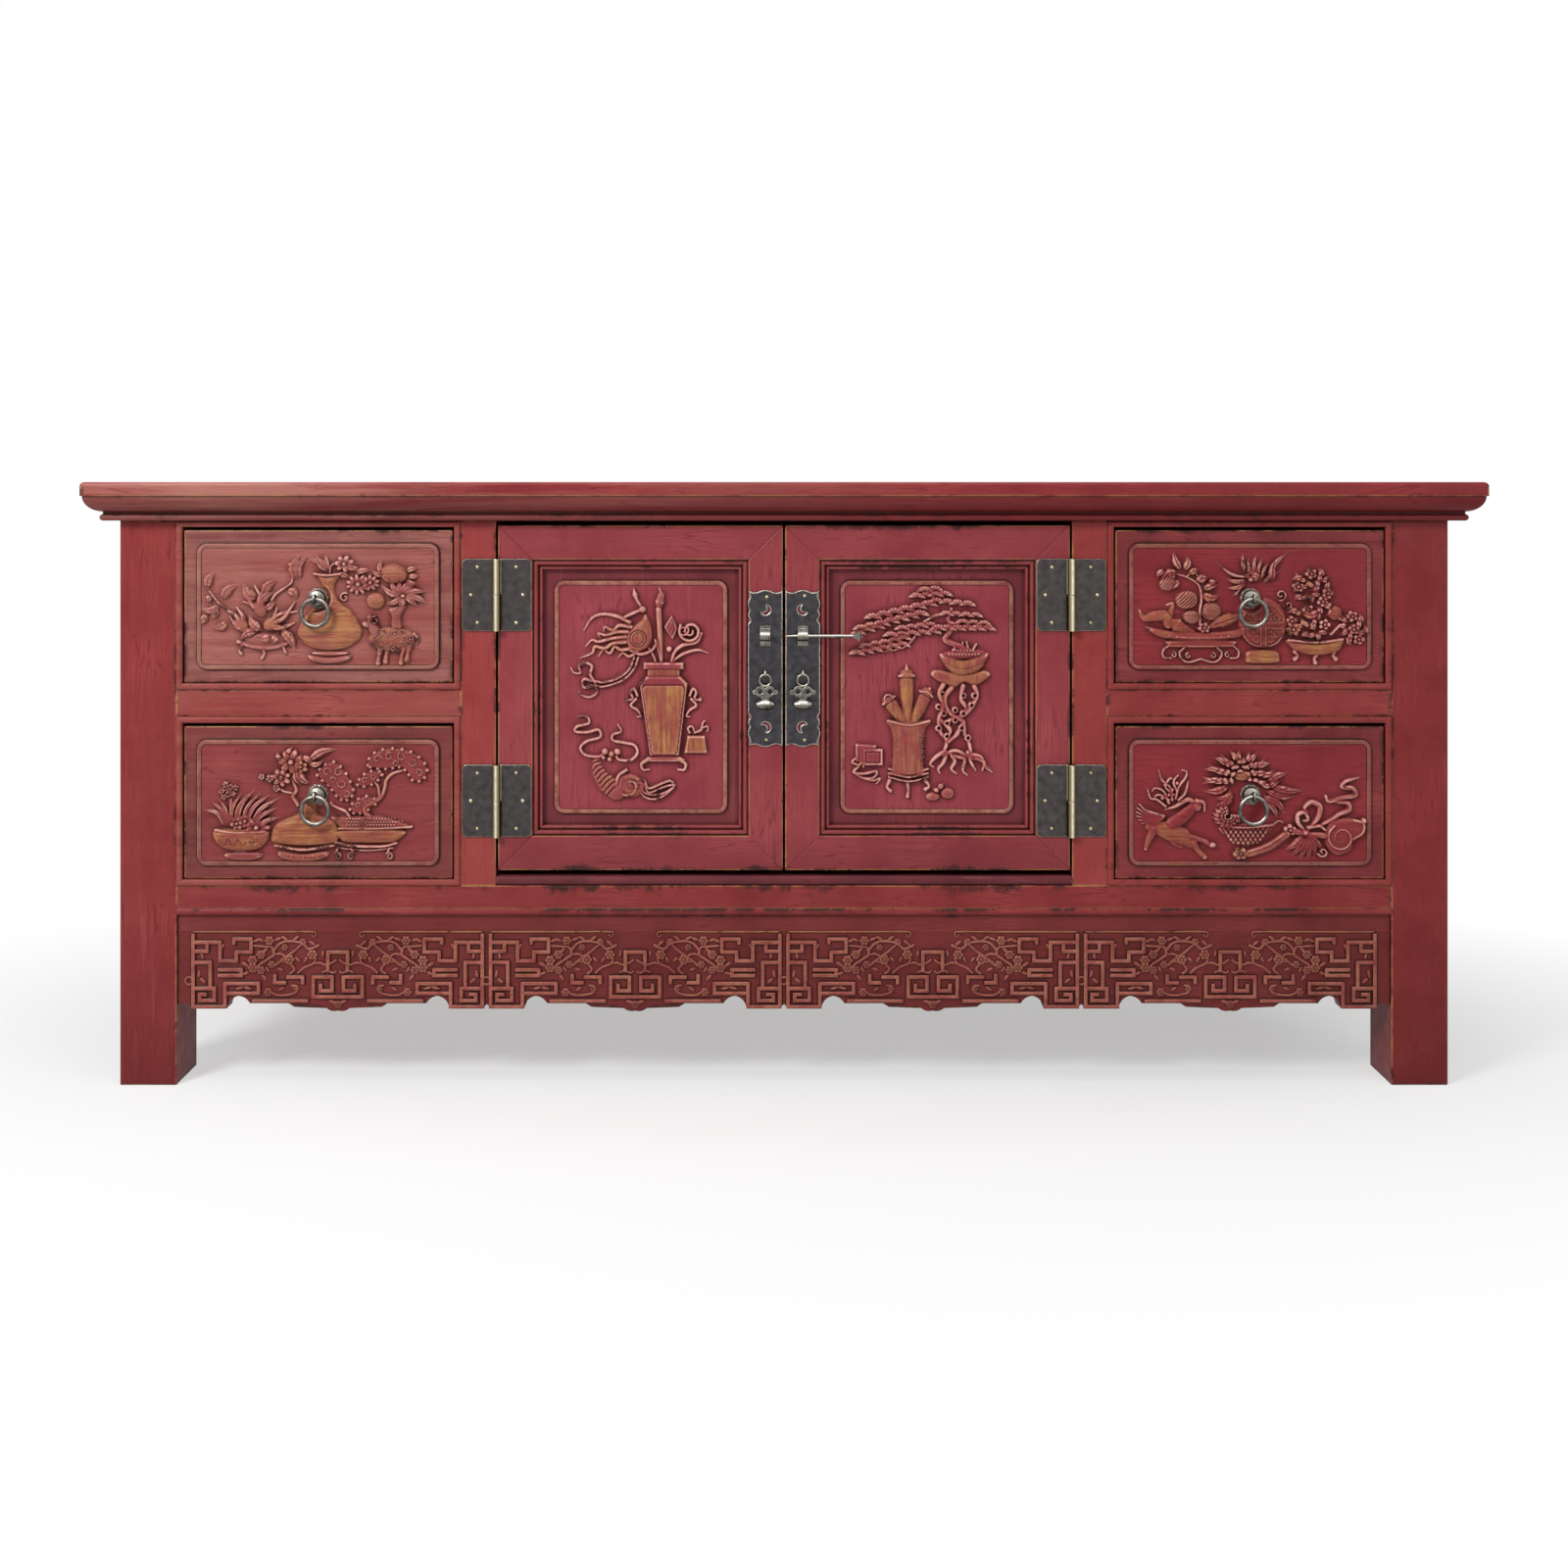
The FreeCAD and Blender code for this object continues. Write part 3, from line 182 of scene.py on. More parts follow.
def worn_lacquer(name, red, deep, grain, ochre, chips, fade=0.05, dark=SHADE_AT_FEET, bite=12, carved=False,
                 crown=None):
    """Old red lacquer brushed thin on wood: cloudy red over brown, satin, rubbed to its ochre ground on
    the edges and chipped to dark wood, with painted shade in the corners and narrow places, and paler
    towards its left, partly faded and rubbed and partly painted light from that side.
    ochre and chips are how much of each shows, fade is how pale it gets towards the left, dark
    is where painted shade darkens it, and bite is how far in from an edge chips reach, in mm. A carved one
    reads its own ridges and hollows: ridges painted lighter, partly rubbed wear and partly painted
    highlight, and hollows darker, a painted shade.
    crown is (Y of a raised line's foot, its rise in mm, colour of its top, worn and with a painted
    highlight, most of it, how dark the painted shade on the ground is, Z above which the ground stays plain)."""
    material, tree, shader = new_material(name)
    place = add(tree, COORDS, out="Object")
    along = add(tree, MAPPING, {"Vector": place, "Scale": GRAIN[grain]})
    spot = {axis: add(tree, SPLIT, [place], axis) for axis in "XYZ"}
    n = {}
    for label, (lengthwise, size, detail, roughness) in LACQUER_NOISES.items():
        n[label] = add(tree, NOISE, {"Vector": along if lengthwise else place, "Scale": scale_of(size),
                                     "Detail": detail, "Roughness": roughness})

    cloud = add(tree, RANGE, [n["cloud"], 0.34, 0.68])
    colour = add(tree, MIX, [cloud, linear(deep), linear(red)])
    # paler towards the left: partly fading and wear, partly painted light from that side
    lit_leftward = add(tree, RANGE, [spot["X"], 0.3, -0.75])
    colour = layered(tree, colour, [
        (n["streak"], 0.56, 0.78, 0.4, None, BROWN_STREAK),
        (n["rubbed"], 0.60, 0.74, 0.32, None, PALE_STREAK),
        (n["long"], 0.36, 0.62, fade, lit_leftward, FADED_AND_LIT),
        # painted shade towards the feet, under the fascia and on the apron's band
        (spot["Z"], *dark, None, SHADE_RED)])

    if crown:
        foot, rise, top, most, ground, plain_above = crown
        height = add(tree, RANGE, [spot["Y"], foot, foot - rise * MM])
        below = add(tree, RANGE, [spot["Z"], plain_above - 2 * MM, plain_above, 1, 0])
        flank = add(tree, RANGE, [height, 0.95, 0.6])
        # painted shade on the ground beside raised lines and bars and on their flanks; tops lighter, partly
        # wear and partly painted highlight
        worn_lit_top = add(tree, RANGE, [n["torn"], 0.40, 0.60, 0.1, 1])
        colour = layered(tree, colour, [
            (height, 0.2, 0.0, ground, below, GROUND_SHADE),
            (height, 0.02, 0.2, 0.8, flank, FLANK_SHADE),
            (height, 0.6, 0.95, most, worn_lit_top, top)])
    if carved:
        ridge, hollow_shade, gilt = (add(tree, ATTRIBUTE, out="Fac", attribute_name=label)
                               for label in ("ridge", "hollow_shade", "gilt"))
        gold = add(tree, RANGE, [n["gold"], 0.36, 0.64])
        gold = add(tree, MIX, [gold, linear(GILT_WORN), linear(GILT)])
        leaf = add(tree, RANGE, [n["patch"], 0.36, 0.6, 0.25, 0.85])
        leaf = add(tree, MATH, [leaf, gilt], operation="MULTIPLY")
        colour = add(tree, MIX, [leaf, colour, gold])
        rubbed = add(tree, RANGE, [n["rubbed"], 0.34, 0.6, 0.4, 1])
        # ridges lighter, partly rubbed wear and partly painted highlight; hollows darker, a painted shade
        colour = layered(tree, colour, [
            (ridge, 0.15, 0.75, 0.7, rubbed, RIDGE_RUBBED_AND_LIT),
            (ridge, 0.55, 1.0, 0.85, rubbed, RIDGE_HIGHLIGHT),
            (n["patch"], 0.5, 0.68, ochre, ridge, RIDGE_OCHRE),
            (hollow_shade, 0.05, 0.9, 0.85, None, HOLLOW_SHADE)])
        near, bent = ridge, None
    else:
        edge, bent = edges(tree, EDGE_ROUND)
        near = add(tree, MATH, [edges(tree, bite)[0], 0.6], operation="POWER")
        reach, open_from, open_to = (3, 0.86, 0.97) if crown else (6, 0.68, 0.86)
        # painted shade in corners, from ambient occlusion; it also keeps edge wear to outer edges
        corner = add(tree, "ShaderNodeAmbientOcclusion", {"Distance": reach * MM}, "AO", samples=8,
                     only_local=True)
        outer = add(tree, RANGE, [corner, open_from, open_to])
        outer_edge = add(tree, MATH, [edge, outer], operation="MULTIPLY")
        colour = layered(tree, colour, [
            (n["long"], 0.50, 0.62, ochre * 0.75, outer_edge, EDGE_OCHRE),
            (n["patch"], 0.36, 0.56, ochre, outer_edge, EDGE_BRIGHT),
            (corner, open_to, open_from - 0.14, 0.85, None, CORNER_SHADE)])

    lifted = add(tree, MATH, [near, CHIP_PULL], operation="MULTIPLY")
    torn = add(tree, MATH, [n["torn"], lifted], operation="ADD")
    here = add(tree, RANGE, [n["areas"], 0.46, 0.56, -0.14, 0.0])
    torn = add(tree, MATH, [torn, here], operation="ADD")
    level = CHIP_START - 0.1 * chips
    chipped = add(tree, RANGE, [torn, level, level + CHIP_RIM])
    crack = add(tree, CELLS, {"Vector": along, "Scale": scale_of(CRAZE_SIZE)}, "Distance",
                feature="DISTANCE_TO_EDGE")
    crazing = add(tree, RANGE, [n["cloud"], 0.45, 0.6, 0, 0.5])
    # painted shade in narrow places, from ambient occlusion
    shade = add(tree, "ShaderNodeAmbientOcclusion", {"Distance": SHADE_REACH * MM}, "AO", samples=6)
    colour = layered(tree, colour, [
        (chipped, 0, 1, 0.92, None, BARE_WOOD),
        (crack, 0.06, 0.0, 1, crazing, CRACK),
        (shade, 0.85, 0.25, 0.75, None, SHADE)])
    tree.links.new(colour, shader["Base Color"])

    tree.links.new(add(tree, RANGE, [n["gloss"], 0.3, 0.7, 0.28, 0.46]), shader["Roughness"])
    shader["Specular IOR Level"].default_value = SATIN
    skin = add(tree, MATH, [chipped, -0.8, add(tree, MATH, [n["streak"], 0.6], operation="MULTIPLY")],
               operation="MULTIPLY_ADD")
    bump = add(tree, BUMP, {"Height": skin, "Distance": 0.4 * MM, "Strength": 0.5})
    if bent:
        tree.links.new(bent, bump.node.inputs["Normal"])
    tree.links.new(bump, shader["Normal"])
    return material


FIR_PALE, FIR_DARK, FIR_STREAK = "#8C6A4C", "#6B4C34", "#4A2F1E"


def sawn_wood(name, pale, dark, grain):
    """Unfinished fir boards gone brown with age: grain in long streaks, matt."""
    material, tree, shader = new_material(name)
    place = add(tree, COORDS, out="Object")
    along = add(tree, MAPPING, {"Vector": place, "Scale": GRAIN[grain]})
    n = {}
    for label, (size, detail, roughness) in WOOD_NOISES.items():
        n[label] = add(tree, NOISE, {"Vector": along, "Scale": scale_of(size), "Detail": detail,
                                     "Roughness": roughness})
    wide = add(tree, RANGE, [n["wide"], 0.35, 0.65])
    colour = add(tree, MIX, [wide, linear(dark), linear(pale)])
    colour = layered(tree, colour, [(n["fine"], 0.5, 0.75, 0.5, None, FIR_STREAK)])
    tree.links.new(colour, shader["Base Color"])
    tree.links.new(add(tree, RANGE, [n["fine"], 0.3, 0.7, 0.62, 0.8]), shader["Roughness"])
    bump = add(tree, BUMP, {"Height": n["fine"], "Distance": 0.4 * MM, "Strength": 0.6})
    tree.links.new(bump, shader["Normal"])
    return material


# Painted shade under castings, and painted light on a hinge's barrel: shade at its sides, lit brass and a
# glint along its front.
METAL_SHADE, BARREL_SHADE, BARREL_LIT, BARREL_GLINT = "#1A1817", "#4E4430", "#8E8262", "#FFF6DC"
LIT_SIDE = (0, -0.6, 0.8)    # a casting is painted brightest where it faces this way, a painted highlight


def aged_metal(name, body, bright, dark, wear, roughness, rim=0.9, barrel=False, cast=False):
    """Cast or cut brass with age: blotched dark, rubbed bright on the edges. A hinge's barrel is told from
    its leaves by how far it lies from the pin, and is painted bright along its front and dark at its sides, a
    painted highlight and painted shade. A casting is painted lighter where it faces up and forwards, a
    painted highlight, and darker underneath, a painted shade."""
    material, tree, shader = new_material(name)
    place = add(tree, COORDS, out="Object")
    n = {}
    for label, (size, detail) in METAL_NOISES.items():
        n[label] = add(tree, NOISE, {"Vector": place, "Scale": scale_of(size), "Detail": detail})
    edge, bent, true = rounded(tree, rim, 0.99, 0.82)
    blotch = add(tree, RANGE, [n["blotch"], 0.3, 0.72])
    colour = add(tree, MIX, [blotch, linear(dark), linear(body)])
    own = add(tree, "ShaderNodeVectorTransform", [true], vector_type="NORMAL", convert_from="WORLD",
              convert_to="OBJECT")
    if cast:
        # painted light: lighter where the casting faces up and forwards, darker underneath
        rubbed = add(tree, VECTOR, [own, LIT_SIDE], out="Value", operation="DOT_PRODUCT")
        colour = layered(tree, colour, [
            (rubbed, 0.35, -0.45, 0.85, None, METAL_SHADE),
            (rubbed, 0.62, 0.97, 0.95, None, bright)])
    if barrel:
        across = add(tree, MATH, [add(tree, SPLIT, [place], "X")], operation="ABSOLUTE")
        axis = float(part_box("hinge_pins")[1][0]) - PIN_RADIUS * MM
        on_barrel = add(tree, MATH, [across, axis, BARREL_RADIUS * MM], operation="COMPARE")
        # painted light on the barrel: bright along its front, dark at its sides
        facing = add(tree, MATH, [add(tree, SPLIT, [own], "Y"), -1], operation="MULTIPLY")
        brass = layered(tree, linear(BARREL_SHADE), [
            (facing, 0.3, 0.95, 1, None, BARREL_LIT),
            (facing, 0.955, 0.995, 1.3, n["blotch"], BARREL_GLINT)])
        colour = add(tree, MIX, [on_barrel, colour, brass])
    worn = add(tree, RANGE, [n["rub"], 0.3, 0.6, wear * 0.3, wear])
    colour = layered(tree, colour, [(edge, 0, 1, 1, worn, bright)])
    tree.links.new(colour, shader["Base Color"])
    shader["Metallic"].default_value = 1
    tree.links.new(add(tree, RANGE, [n["blotch"], 0.3, 0.7, roughness + 0.1, roughness - 0.06]),
                   shader["Roughness"])
    bump = add(tree, BUMP, {"Height": n["cast"], "Distance": 0.2 * MM, "Strength": 0.25, "Normal": bent})
    tree.links.new(bump, shader["Normal"])
    return material


LINE_PROUD = 1.3        # how far a raised line stands in front of its field
FRET_PROUD = 2.2        # how far the apron's bars stand in front of its face
FRET_TOP = 0.189        # the Z above which the apron is a plain band
# Raised lines with tops worn lighter, partly rubbed wear and partly a painted highlight, as worn_lacquer
# takes them.
FRONT_CROWN = (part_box("drawer_upper_left_front")[0][1] + LINE_PROUD * MM, LINE_PROUD, "#B47E76", 0.4, 0, 1)
PANEL_CROWN = (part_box("door_left_panel")[0][1] + LINE_PROUD * MM, LINE_PROUD, "#D0947E", 0.5, 0, 1)
FRET_CROWN = (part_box("apron_front")[0][1] + FRET_PROUD * MM, FRET_PROUD, "#BE7E6C", 0.5, 0.5, FRET_TOP)

# Lacquers: (key, what it is on, red, deep red, grain, ochre, chips, what else differs).
LACQUERS = (
    ("lacquer_x", "rails", "#95403F", "#7F302F", "x", 0.9, 0.9, {"fade": 0.2}),
    ("lacquer_low", "bottom_rail", "#8E3839", "#772829", "x", 0.9, 1.2, {"bite": 26}),
    # the sill's deeper red is painted shade: it lies in the doors' shadow
    ("lacquer_sill", "sill", "#6E3238", "#52222A", "x", 0.9, 0.9, {}),
    ("lacquer_legs", "legs", "#8C3536", "#762627", "z", 1.0, 0.8, {"fade": 0.03}),
    ("lacquer_stiles", "stiles", "#9B4342", "#873332", "z", 1.0, 0.8, {}),
    ("lacquer_y", "ends", "#8C3536", "#762627", "y", 0.9, 0.7, {}),
    ("lacquer_top", "top", "#8C3336", "#742628", "x", 1.0, 0.8, {"fade": 0.55, "dark": SHADE_UNDER_FASCIA}),
    ("lacquer_door_x", "door_rails", "#964348", "#803238", "x", 0.9, 1.0, {"dark": SHADE_AT_DOOR_FOOT, "bite": 20}),
    ("lacquer_door_z", "door_stiles", "#984448", "#823338", "z", 0.9, 0.8, {"dark": SHADE_AT_DOOR_FOOT}),
    # the upper left front and its carving are paler than the right ones: partly fading and wear, partly
    # painted light from the left
    ("fronts_left", "left_fronts", "#905450", "#6A3635", "x", 1.0, 1.0, {"fade": 0.3, "crown": FRONT_CROWN}),
    ("fronts_low_left", "low_left_front", "#823C3A", "#5E2B2B", "x", 1.0, 1.2,
     {"fade": 0.1, "crown": FRONT_CROWN}),
    ("fronts_right", "right_fronts", "#8A3C3E", "#66262A", "x", 1.0, 1.0, {"crown": FRONT_CROWN}),
    ("lacquer_panels", "door_panels", "#7E373C", "#62282F", "z", 0.9, 0.9, {"crown": PANEL_CROWN}),
    ("lacquer_apron", "apron", "#92403F", "#742D2D", "x", 0.35, 0.8,
     {"dark": SHADE_ON_APRON_BAND, "crown": FRET_CROWN}),
    # paler than the right carving: partly fading and wear, partly painted light from the left
    ("carving_left", "left_carving", "#964F4B", "#7D3B38", "x", 0.5, 0.3, {"fade": 0.35, "carved": True}),
    ("carving_low_left", "low_left_carving", "#8A3B3C", "#722D2E", "x", 0.5, 0.3,
     {"fade": 0.08, "carved": True}),
    ("carving_right", "right_carving", "#8C3237", "#76262B", "x", 0.5, 0.3, {"carved": True}),
    ("carving_door", "door_carving", "#97424A", "#81313A", "z", 0.5, 0.3, {"carved": True}),
    # the vine's lighter red is a painted highlight on its raised stems and blossoms; its ochre is wear
    ("vine", "vine", "#AE675C", "#8C473F", "x", 0.9, 0.0, {}),
)
# Metals: (key, name, body, bright, dark, wear, roughness, what else differs); bright is the colour of rubbed
# edges and, on castings, of the painted highlight too.
METALS = (
    ("bronze", "dark_bronze_sheet", "#504D50", "#F0E6DA", "#363436", 1.2, 0.36, {"rim": 2.6}),
    ("hinge", "bronze_hinge_with_brass_barrel", "#544F4E", "#CFC7B0", "#3C3938", 0.9, 0.40,
     {"rim": 1.4, "barrel": True}),
    ("brass", "old_brass_cast", "#8E897E", "#DEDAD0", "#46423C", 0.9, 0.32, {"cast": True}),
    ("pewter", "grey_brass_pulls", "#86817A", "#BAB4AA", "#443F3A", 0.95, 0.34, {"cast": True}),
    ("nail", "bright_brass_nails", "#CFC4A0", "#F0EAD0", "#8B7D58", 0.6, 0.28, {}),
)

MATERIALS = {}
for key, place, *looks, others in LACQUERS:
    MATERIALS[key] = worn_lacquer(f"red_lacquer_{place}", *looks, **others)
for key, name, grain in (("fir_x", "lengthwise", "x"), ("fir_y", "crosswise", "y")):
    MATERIALS[key] = sawn_wood(f"aged_fir_{name}", FIR_PALE, FIR_DARK, grain)
for key, name, *looks, others in METALS:
    MATERIALS[key] = aged_metal(name, *looks, **others)


def dress(node, key):
    """Give a carried-over solid one of the materials."""
    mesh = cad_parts[node].data
    mesh.materials.clear()
    mesh.materials.append(MATERIALS[key])


# The first line whose start and end fit a node's name gives its material.
DRESS = (
    ("drawer_", "_pull", "pewter"), ("drawer_", "_ring", "pewter"), ("", "_staples", "brass"),
    ("", "_pendant", "brass"), ("hinge_pins", "", "brass"), ("bolt", "", "brass"),
    ("", "hinge_leaves", "hinge"), ("", "hinge_leaves_fixed", "hinge"), ("", "lock_plate", "bronze"),
    ("back_", "", "fir_x"), ("floor_", "", "fir_x"), ("drawer_", "_box", "fir_y"),
    ("partition", "", "fir_y"), ("drawer_runners", "", "fir_y"), ("leg_", "", "lacquer_legs"),
    ("stile_", "", "lacquer_stiles"), ("bottom_rail_front", "", "lacquer_low"),
    ("door_sill", "", "lacquer_sill"), ("door_", "_stiles", "lacquer_door_z"),
    ("door_", "_rails", "lacquer_door_x"),
    ("top_", "_end", "lacquer_y"), ("side_", "", "lacquer_y"), ("top_front_rail", "", "lacquer_top"),
    ("drawer_lower", "left_front", "fronts_low_left"), ("drawer_", "left_front", "fronts_left"),
    ("drawer_", "right_front", "fronts_right"),
    ("door_", "_panel", "lacquer_panels"), ("apron_front", "", "lacquer_apron"), ("", "", "lacquer_x"))


def dress_solids():
    """Give every carried-over solid its material."""
    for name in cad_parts:
        for start, end, key in DRESS:
            if name.startswith(start) and name.endswith(end):
                dress(name, key)
                break


def shown_rays(tree):
    """1 for the rays that see the room as it is painted, 0 for those that only carry light."""
    shown = add(tree, "ShaderNodeLightPath", out="Is Camera Ray")
    rays = shown.node.outputs
    for ray in ("Is Glossy Ray", "Is Transmission Ray"):
        shown = add(tree, MATH, [shown, rays[ray]], operation="MAXIMUM")
    return shown


FLOOR_REACH = 6
FLOOR_DROP = 0.5        # below the feet, so that no two faces lie in one plane


def lay_floor():
    """A pale floor that runs out to plain white, and keeps the shadow under the console."""
    reach = FLOOR_REACH
    mesh = bpy.data.meshes.new("floor")
    corners = [(-reach, -reach, 0), (reach, -reach, 0), (reach, reach, 0), (-reach, reach, 0)]
    mesh.from_pydata(corners, [], [(0, 1, 2, 3)])
    floor = bpy.data.objects.new("floor", mesh)
    floor.location.z = -FLOOR_DROP * MM
    bpy.context.collection.objects.link(floor)
    material = bpy.data.materials.new("pale_studio_floor")
    material.use_nodes = True
    tree = material.node_tree
    tree.nodes.clear()
    place = add(tree, COORDS, out="Object")
    away = add(tree, VECTOR, [place, (0.55, 1.0, 1)], operation="MULTIPLY")
    away = add(tree, VECTOR, [away], out="Value", operation="LENGTH")
    white = add(tree, RANGE, [away, 0.35, 0.85, 0.45, 1])
    white = add(tree, MATH, [white, shown_rays(tree)], operation="MULTIPLY")
    matt = add(tree, "ShaderNodeBsdfDiffuse", {"Color": (0.86, 0.86, 0.86, 1)})
    glow = add(tree, "ShaderNodeEmission", {"Color": (1, 1, 1, 1), "Strength": 1})
    mix = add(tree, "ShaderNodeMixShader", [white, matt, glow])
    add(tree, "ShaderNodeOutputMaterial", {"Surface": mix})
    mesh.materials.append(material)


AMBIENT = 0.30          # the room's strength for the rays that only carry light
# Lamps: (name, place, size, power).
LAMPS = (("key", (-2.0, -2.2, 2.5), 0.9, 84), ("fill", (2.2, -2.6, 1.4), 1.6, 14),
         ("top", (0.1, -0.4, 2.6), 1.6, 24))
LIT_POINT = (0, 0, 0.4)     # the lamps face the console's middle


def light_studio():
    """Soft light from above and from both sides, and an even white room."""
    world = bpy.data.worlds.new("white_room")
    bpy.context.scene.world = world
    world.use_nodes = True
    tree = world.node_tree
    tree.nodes.clear()
    strength = add(tree, RANGE, [shown_rays(tree), 0, 1, AMBIENT, 1])
    back = add(tree, "ShaderNodeBackground", {"Color": (1, 1, 1, 1), "Strength": strength})
    add(tree, "ShaderNodeOutputWorld", {"Surface": back})
    for name, spot, size, power in LAMPS:
        data = bpy.data.lights.new(name, "AREA")
        data.shape = "SQUARE"
        data.size = size
        data.energy = power
        lamp = bpy.data.objects.new(name, data)
        lamp.location = spot
        aim = Vector(LIT_POINT) - Vector(spot)
        lamp.rotation_euler = aim.to_track_quat("-Z", "Y").to_euler()
        bpy.context.collection.objects.link(lamp)


def smooth(points, closed=False, steps=6):
    """A Catmull-Rom line through the points, as an array."""
    points = np.array(points, float)
    if len(points) < 3:
        return points
    if closed:
        padded = np.vstack([points[-1], points, points[:2]])
    else:
        padded = np.vstack([2 * points[0] - points[1], points, 2 * points[-1] - points[-2]])
    t = np.linspace(0, 1, steps, endpoint=False)[:, None]
    runs = []
    for a, b, c, d in zip(padded, padded[1:], padded[2:], padded[3:]):
        runs.append(b + 0.5 * t * (c - a + t * (2 * a - 5 * b + 4 * c - d + t * (3 * (b - c) + d - a))))
    if not closed:
        runs.append(points[-1:])
    return np.vstack(runs)


def around(centre, radii, angle):
    """A point of an oval."""
    return centre[0] + radii[0] * math.cos(angle), centre[1] + radii[1] * math.sin(angle)


def mirrored(line, middle, way):
    """A line drawn to the right of a middle, or to its left where way is -1."""
    return [(middle + way * u, v) for u, v in line]


LEAF_RISE = 1.35        # how much higher a leaf's fold is than its blade is drawn
LEAF_VEIN = (0.9, 0.9)  # half-width and depth


class Carving:
    """A carved field: heights in millimetres on a grid, raised shape by shape above the ground."""

    def __init__(self, width, height, step):
        self.u = np.linspace(-width / 2, width / 2, int(round(width / step)) + 1)
        self.v = np.linspace(-height / 2, height / 2, int(round(height / step)) + 1)
        self.height = np.zeros((len(self.v), len(self.u)))
        self.gilt = np.zeros_like(self.height)

    def window(self, low, high):
        """The part of the grid between two corners, with its coordinates."""
        columns = slice(*np.searchsorted(self.u, (low[0], high[0])))
        rows = slice(*np.searchsorted(self.v, (low[1], high[1])))
        across, up = np.meshgrid(self.u[columns], self.v[rows])
        return (rows, columns), across, up

    def lift(self, window, inside, top, soft, gilt=0, over=False):
        """Raise what lies inside an outline to a rounded top, or add it to what is there."""
        share = np.clip(inside / soft, 0, 1)
        bump = top * np.sqrt(share * (2 - share))
        old = self.height[window]
        new = old + bump if over else np.maximum(old, bump)
        self.gilt[window] = np.where((inside > 0) & (new > old), gilt, self.gilt[window])
        self.height[window] = new

    def nearest(self, line, across, up):
        """Distance from a line, and how far along it the nearest point lies, from 0 to 1."""
        runs = np.hypot(*np.diff(line, axis=0).T)
        total = max(runs.sum(), 1e-6)
        best = np.full(across.shape, np.inf)
        share = np.zeros(across.shape)
        passed = 0
        for start, end, run in zip(line, line[1:], runs):
            along = end - start
            t = ((across - start[0]) * along[0] + (up - start[1]) * along[1]) / max(run * run, 1e-9)
            t = np.clip(t, 0, 1)
            away = np.hypot(across - start[0] - t * along[0], up - start[1] - t * along[1])
            share = np.where(away < best, (passed + t * run) / total, share)
            best = np.minimum(best, away)
            passed += run
        return best, share

    def dome(self, centre, radii, top, turn=0, gilt=0, over=False):
        """A low mound."""
        reach = max(radii)
        spot = np.array(centre, float)
        window, across, up = self.window(spot - reach, spot + reach)
        angle = math.radians(turn)
        a = (across - spot[0]) * math.cos(angle) + (up - spot[1]) * math.sin(angle)
        b = (up - spot[1]) * math.cos(angle) - (across - spot[0]) * math.sin(angle)
        inside = 1 - np.hypot(a / radii[0], b / radii[1])
        self.lift(window, inside, top, 1, gilt, over)

    def stroke(self, points, widths, top, gilt=0, straight=False):
        """A rounded ridge along a line, with its half-width given at even places."""
        line = np.array(points, float) if straight else smooth(points)
        reach = max(widths)
        window, across, up = self.window(line.min(0) - reach, line.max(0) + reach)
        away, share = self.nearest(line, across, up)
        half = np.interp(share, np.linspace(0, 1, len(widths)), widths)
        tops = top * np.clip(half / reach, 0.35, 1)
        self.lift(window, half - away, tops, np.maximum(half, 0.3), gilt)

    def plate(self, points, top, soft, gilt=0, over=False, straight=False):
        """A closed shape with rounded edges."""
        line = np.array(points, float) if straight else smooth(points, True)
        line = np.vstack([line, line[:1]])
        window, across, up = self.window(line.min(0) - 1, line.max(0) + 1)
        away, _ = self.nearest(line, across, up)
        odd = np.zeros(across.shape, bool)
        for (u0, v0), (u1, v1) in zip(line, line[1:]):
            crosses = (v0 > up) != (v1 > up)
            if v0 != v1:
                odd ^= crosses & (across < u0 + (up - v0) * (u1 - u0) / (v1 - v0))
        self.lift(window, np.where(odd, away, -away), top, soft, gilt, over)

    def cut(self, points, half, depth, straight=False):
        """A round groove along a line."""
        line = np.array(points, float) if straight else smooth(points)
        window, across, up = self.window(line.min(0) - half, line.max(0) + half)
        away, _ = self.nearest(line, across, up)
        groove = depth * np.clip(1 - (away / half) ** 2, 0, 1)
        self.height[window] = np.maximum(self.height[window] - groove, 0)

    def leaf(self, base, tip, half, bend=0, top=2.6, gilt=0):
        """A pointed leaf with its vein, bent sideways by a share of its length."""
        base, tip = np.array(base, float), np.array(tip, float)
        side = np.array([base[1] - tip[1], tip[0] - base[0]])
        middle = (base + tip) / 2 + side * bend
        widths = [0.5, half * 0.95, half * 1.2, half, half * 0.55, 0.3]
        self.stroke([base, middle, tip], widths, top * LEAF_RISE, gilt)
        self.cut([base, middle, tip], *LEAF_VEIN)

    def bloom(self, centre, radius, petals, top, turn=0, squash=1.0, gilt=0):
        """A flower seen from the front: a ring of petals round a raised eye."""
        for k in range(petals):
            angle = math.radians(turn + 360 * k / petals)
            away = (radius * 0.62 * math.cos(angle), radius * 0.62 * math.sin(angle) * squash)
            spot = (centre[0] + away[0], centre[1] + away[1])
            width = radius * min(0.42, 2.2 / petals)
            self.dome(spot, (radius * 0.42, width), top * (0.85 + 0.15 * (k % 2)),
                      math.degrees(math.atan2(away[1], away[0])), gilt)
            self.cut([centre, spot], 0.7, 0.8, True)
        self.dome(centre, (radius * 0.26, radius * 0.26), top * 1.15, gilt=gilt)

    def spray(self, leaves, top=2.6):
        """Leaves as (base, tip, half-width, bend)."""
        for base, tip, half, bend in leaves:
            self.leaf(base, tip, half, bend, top)

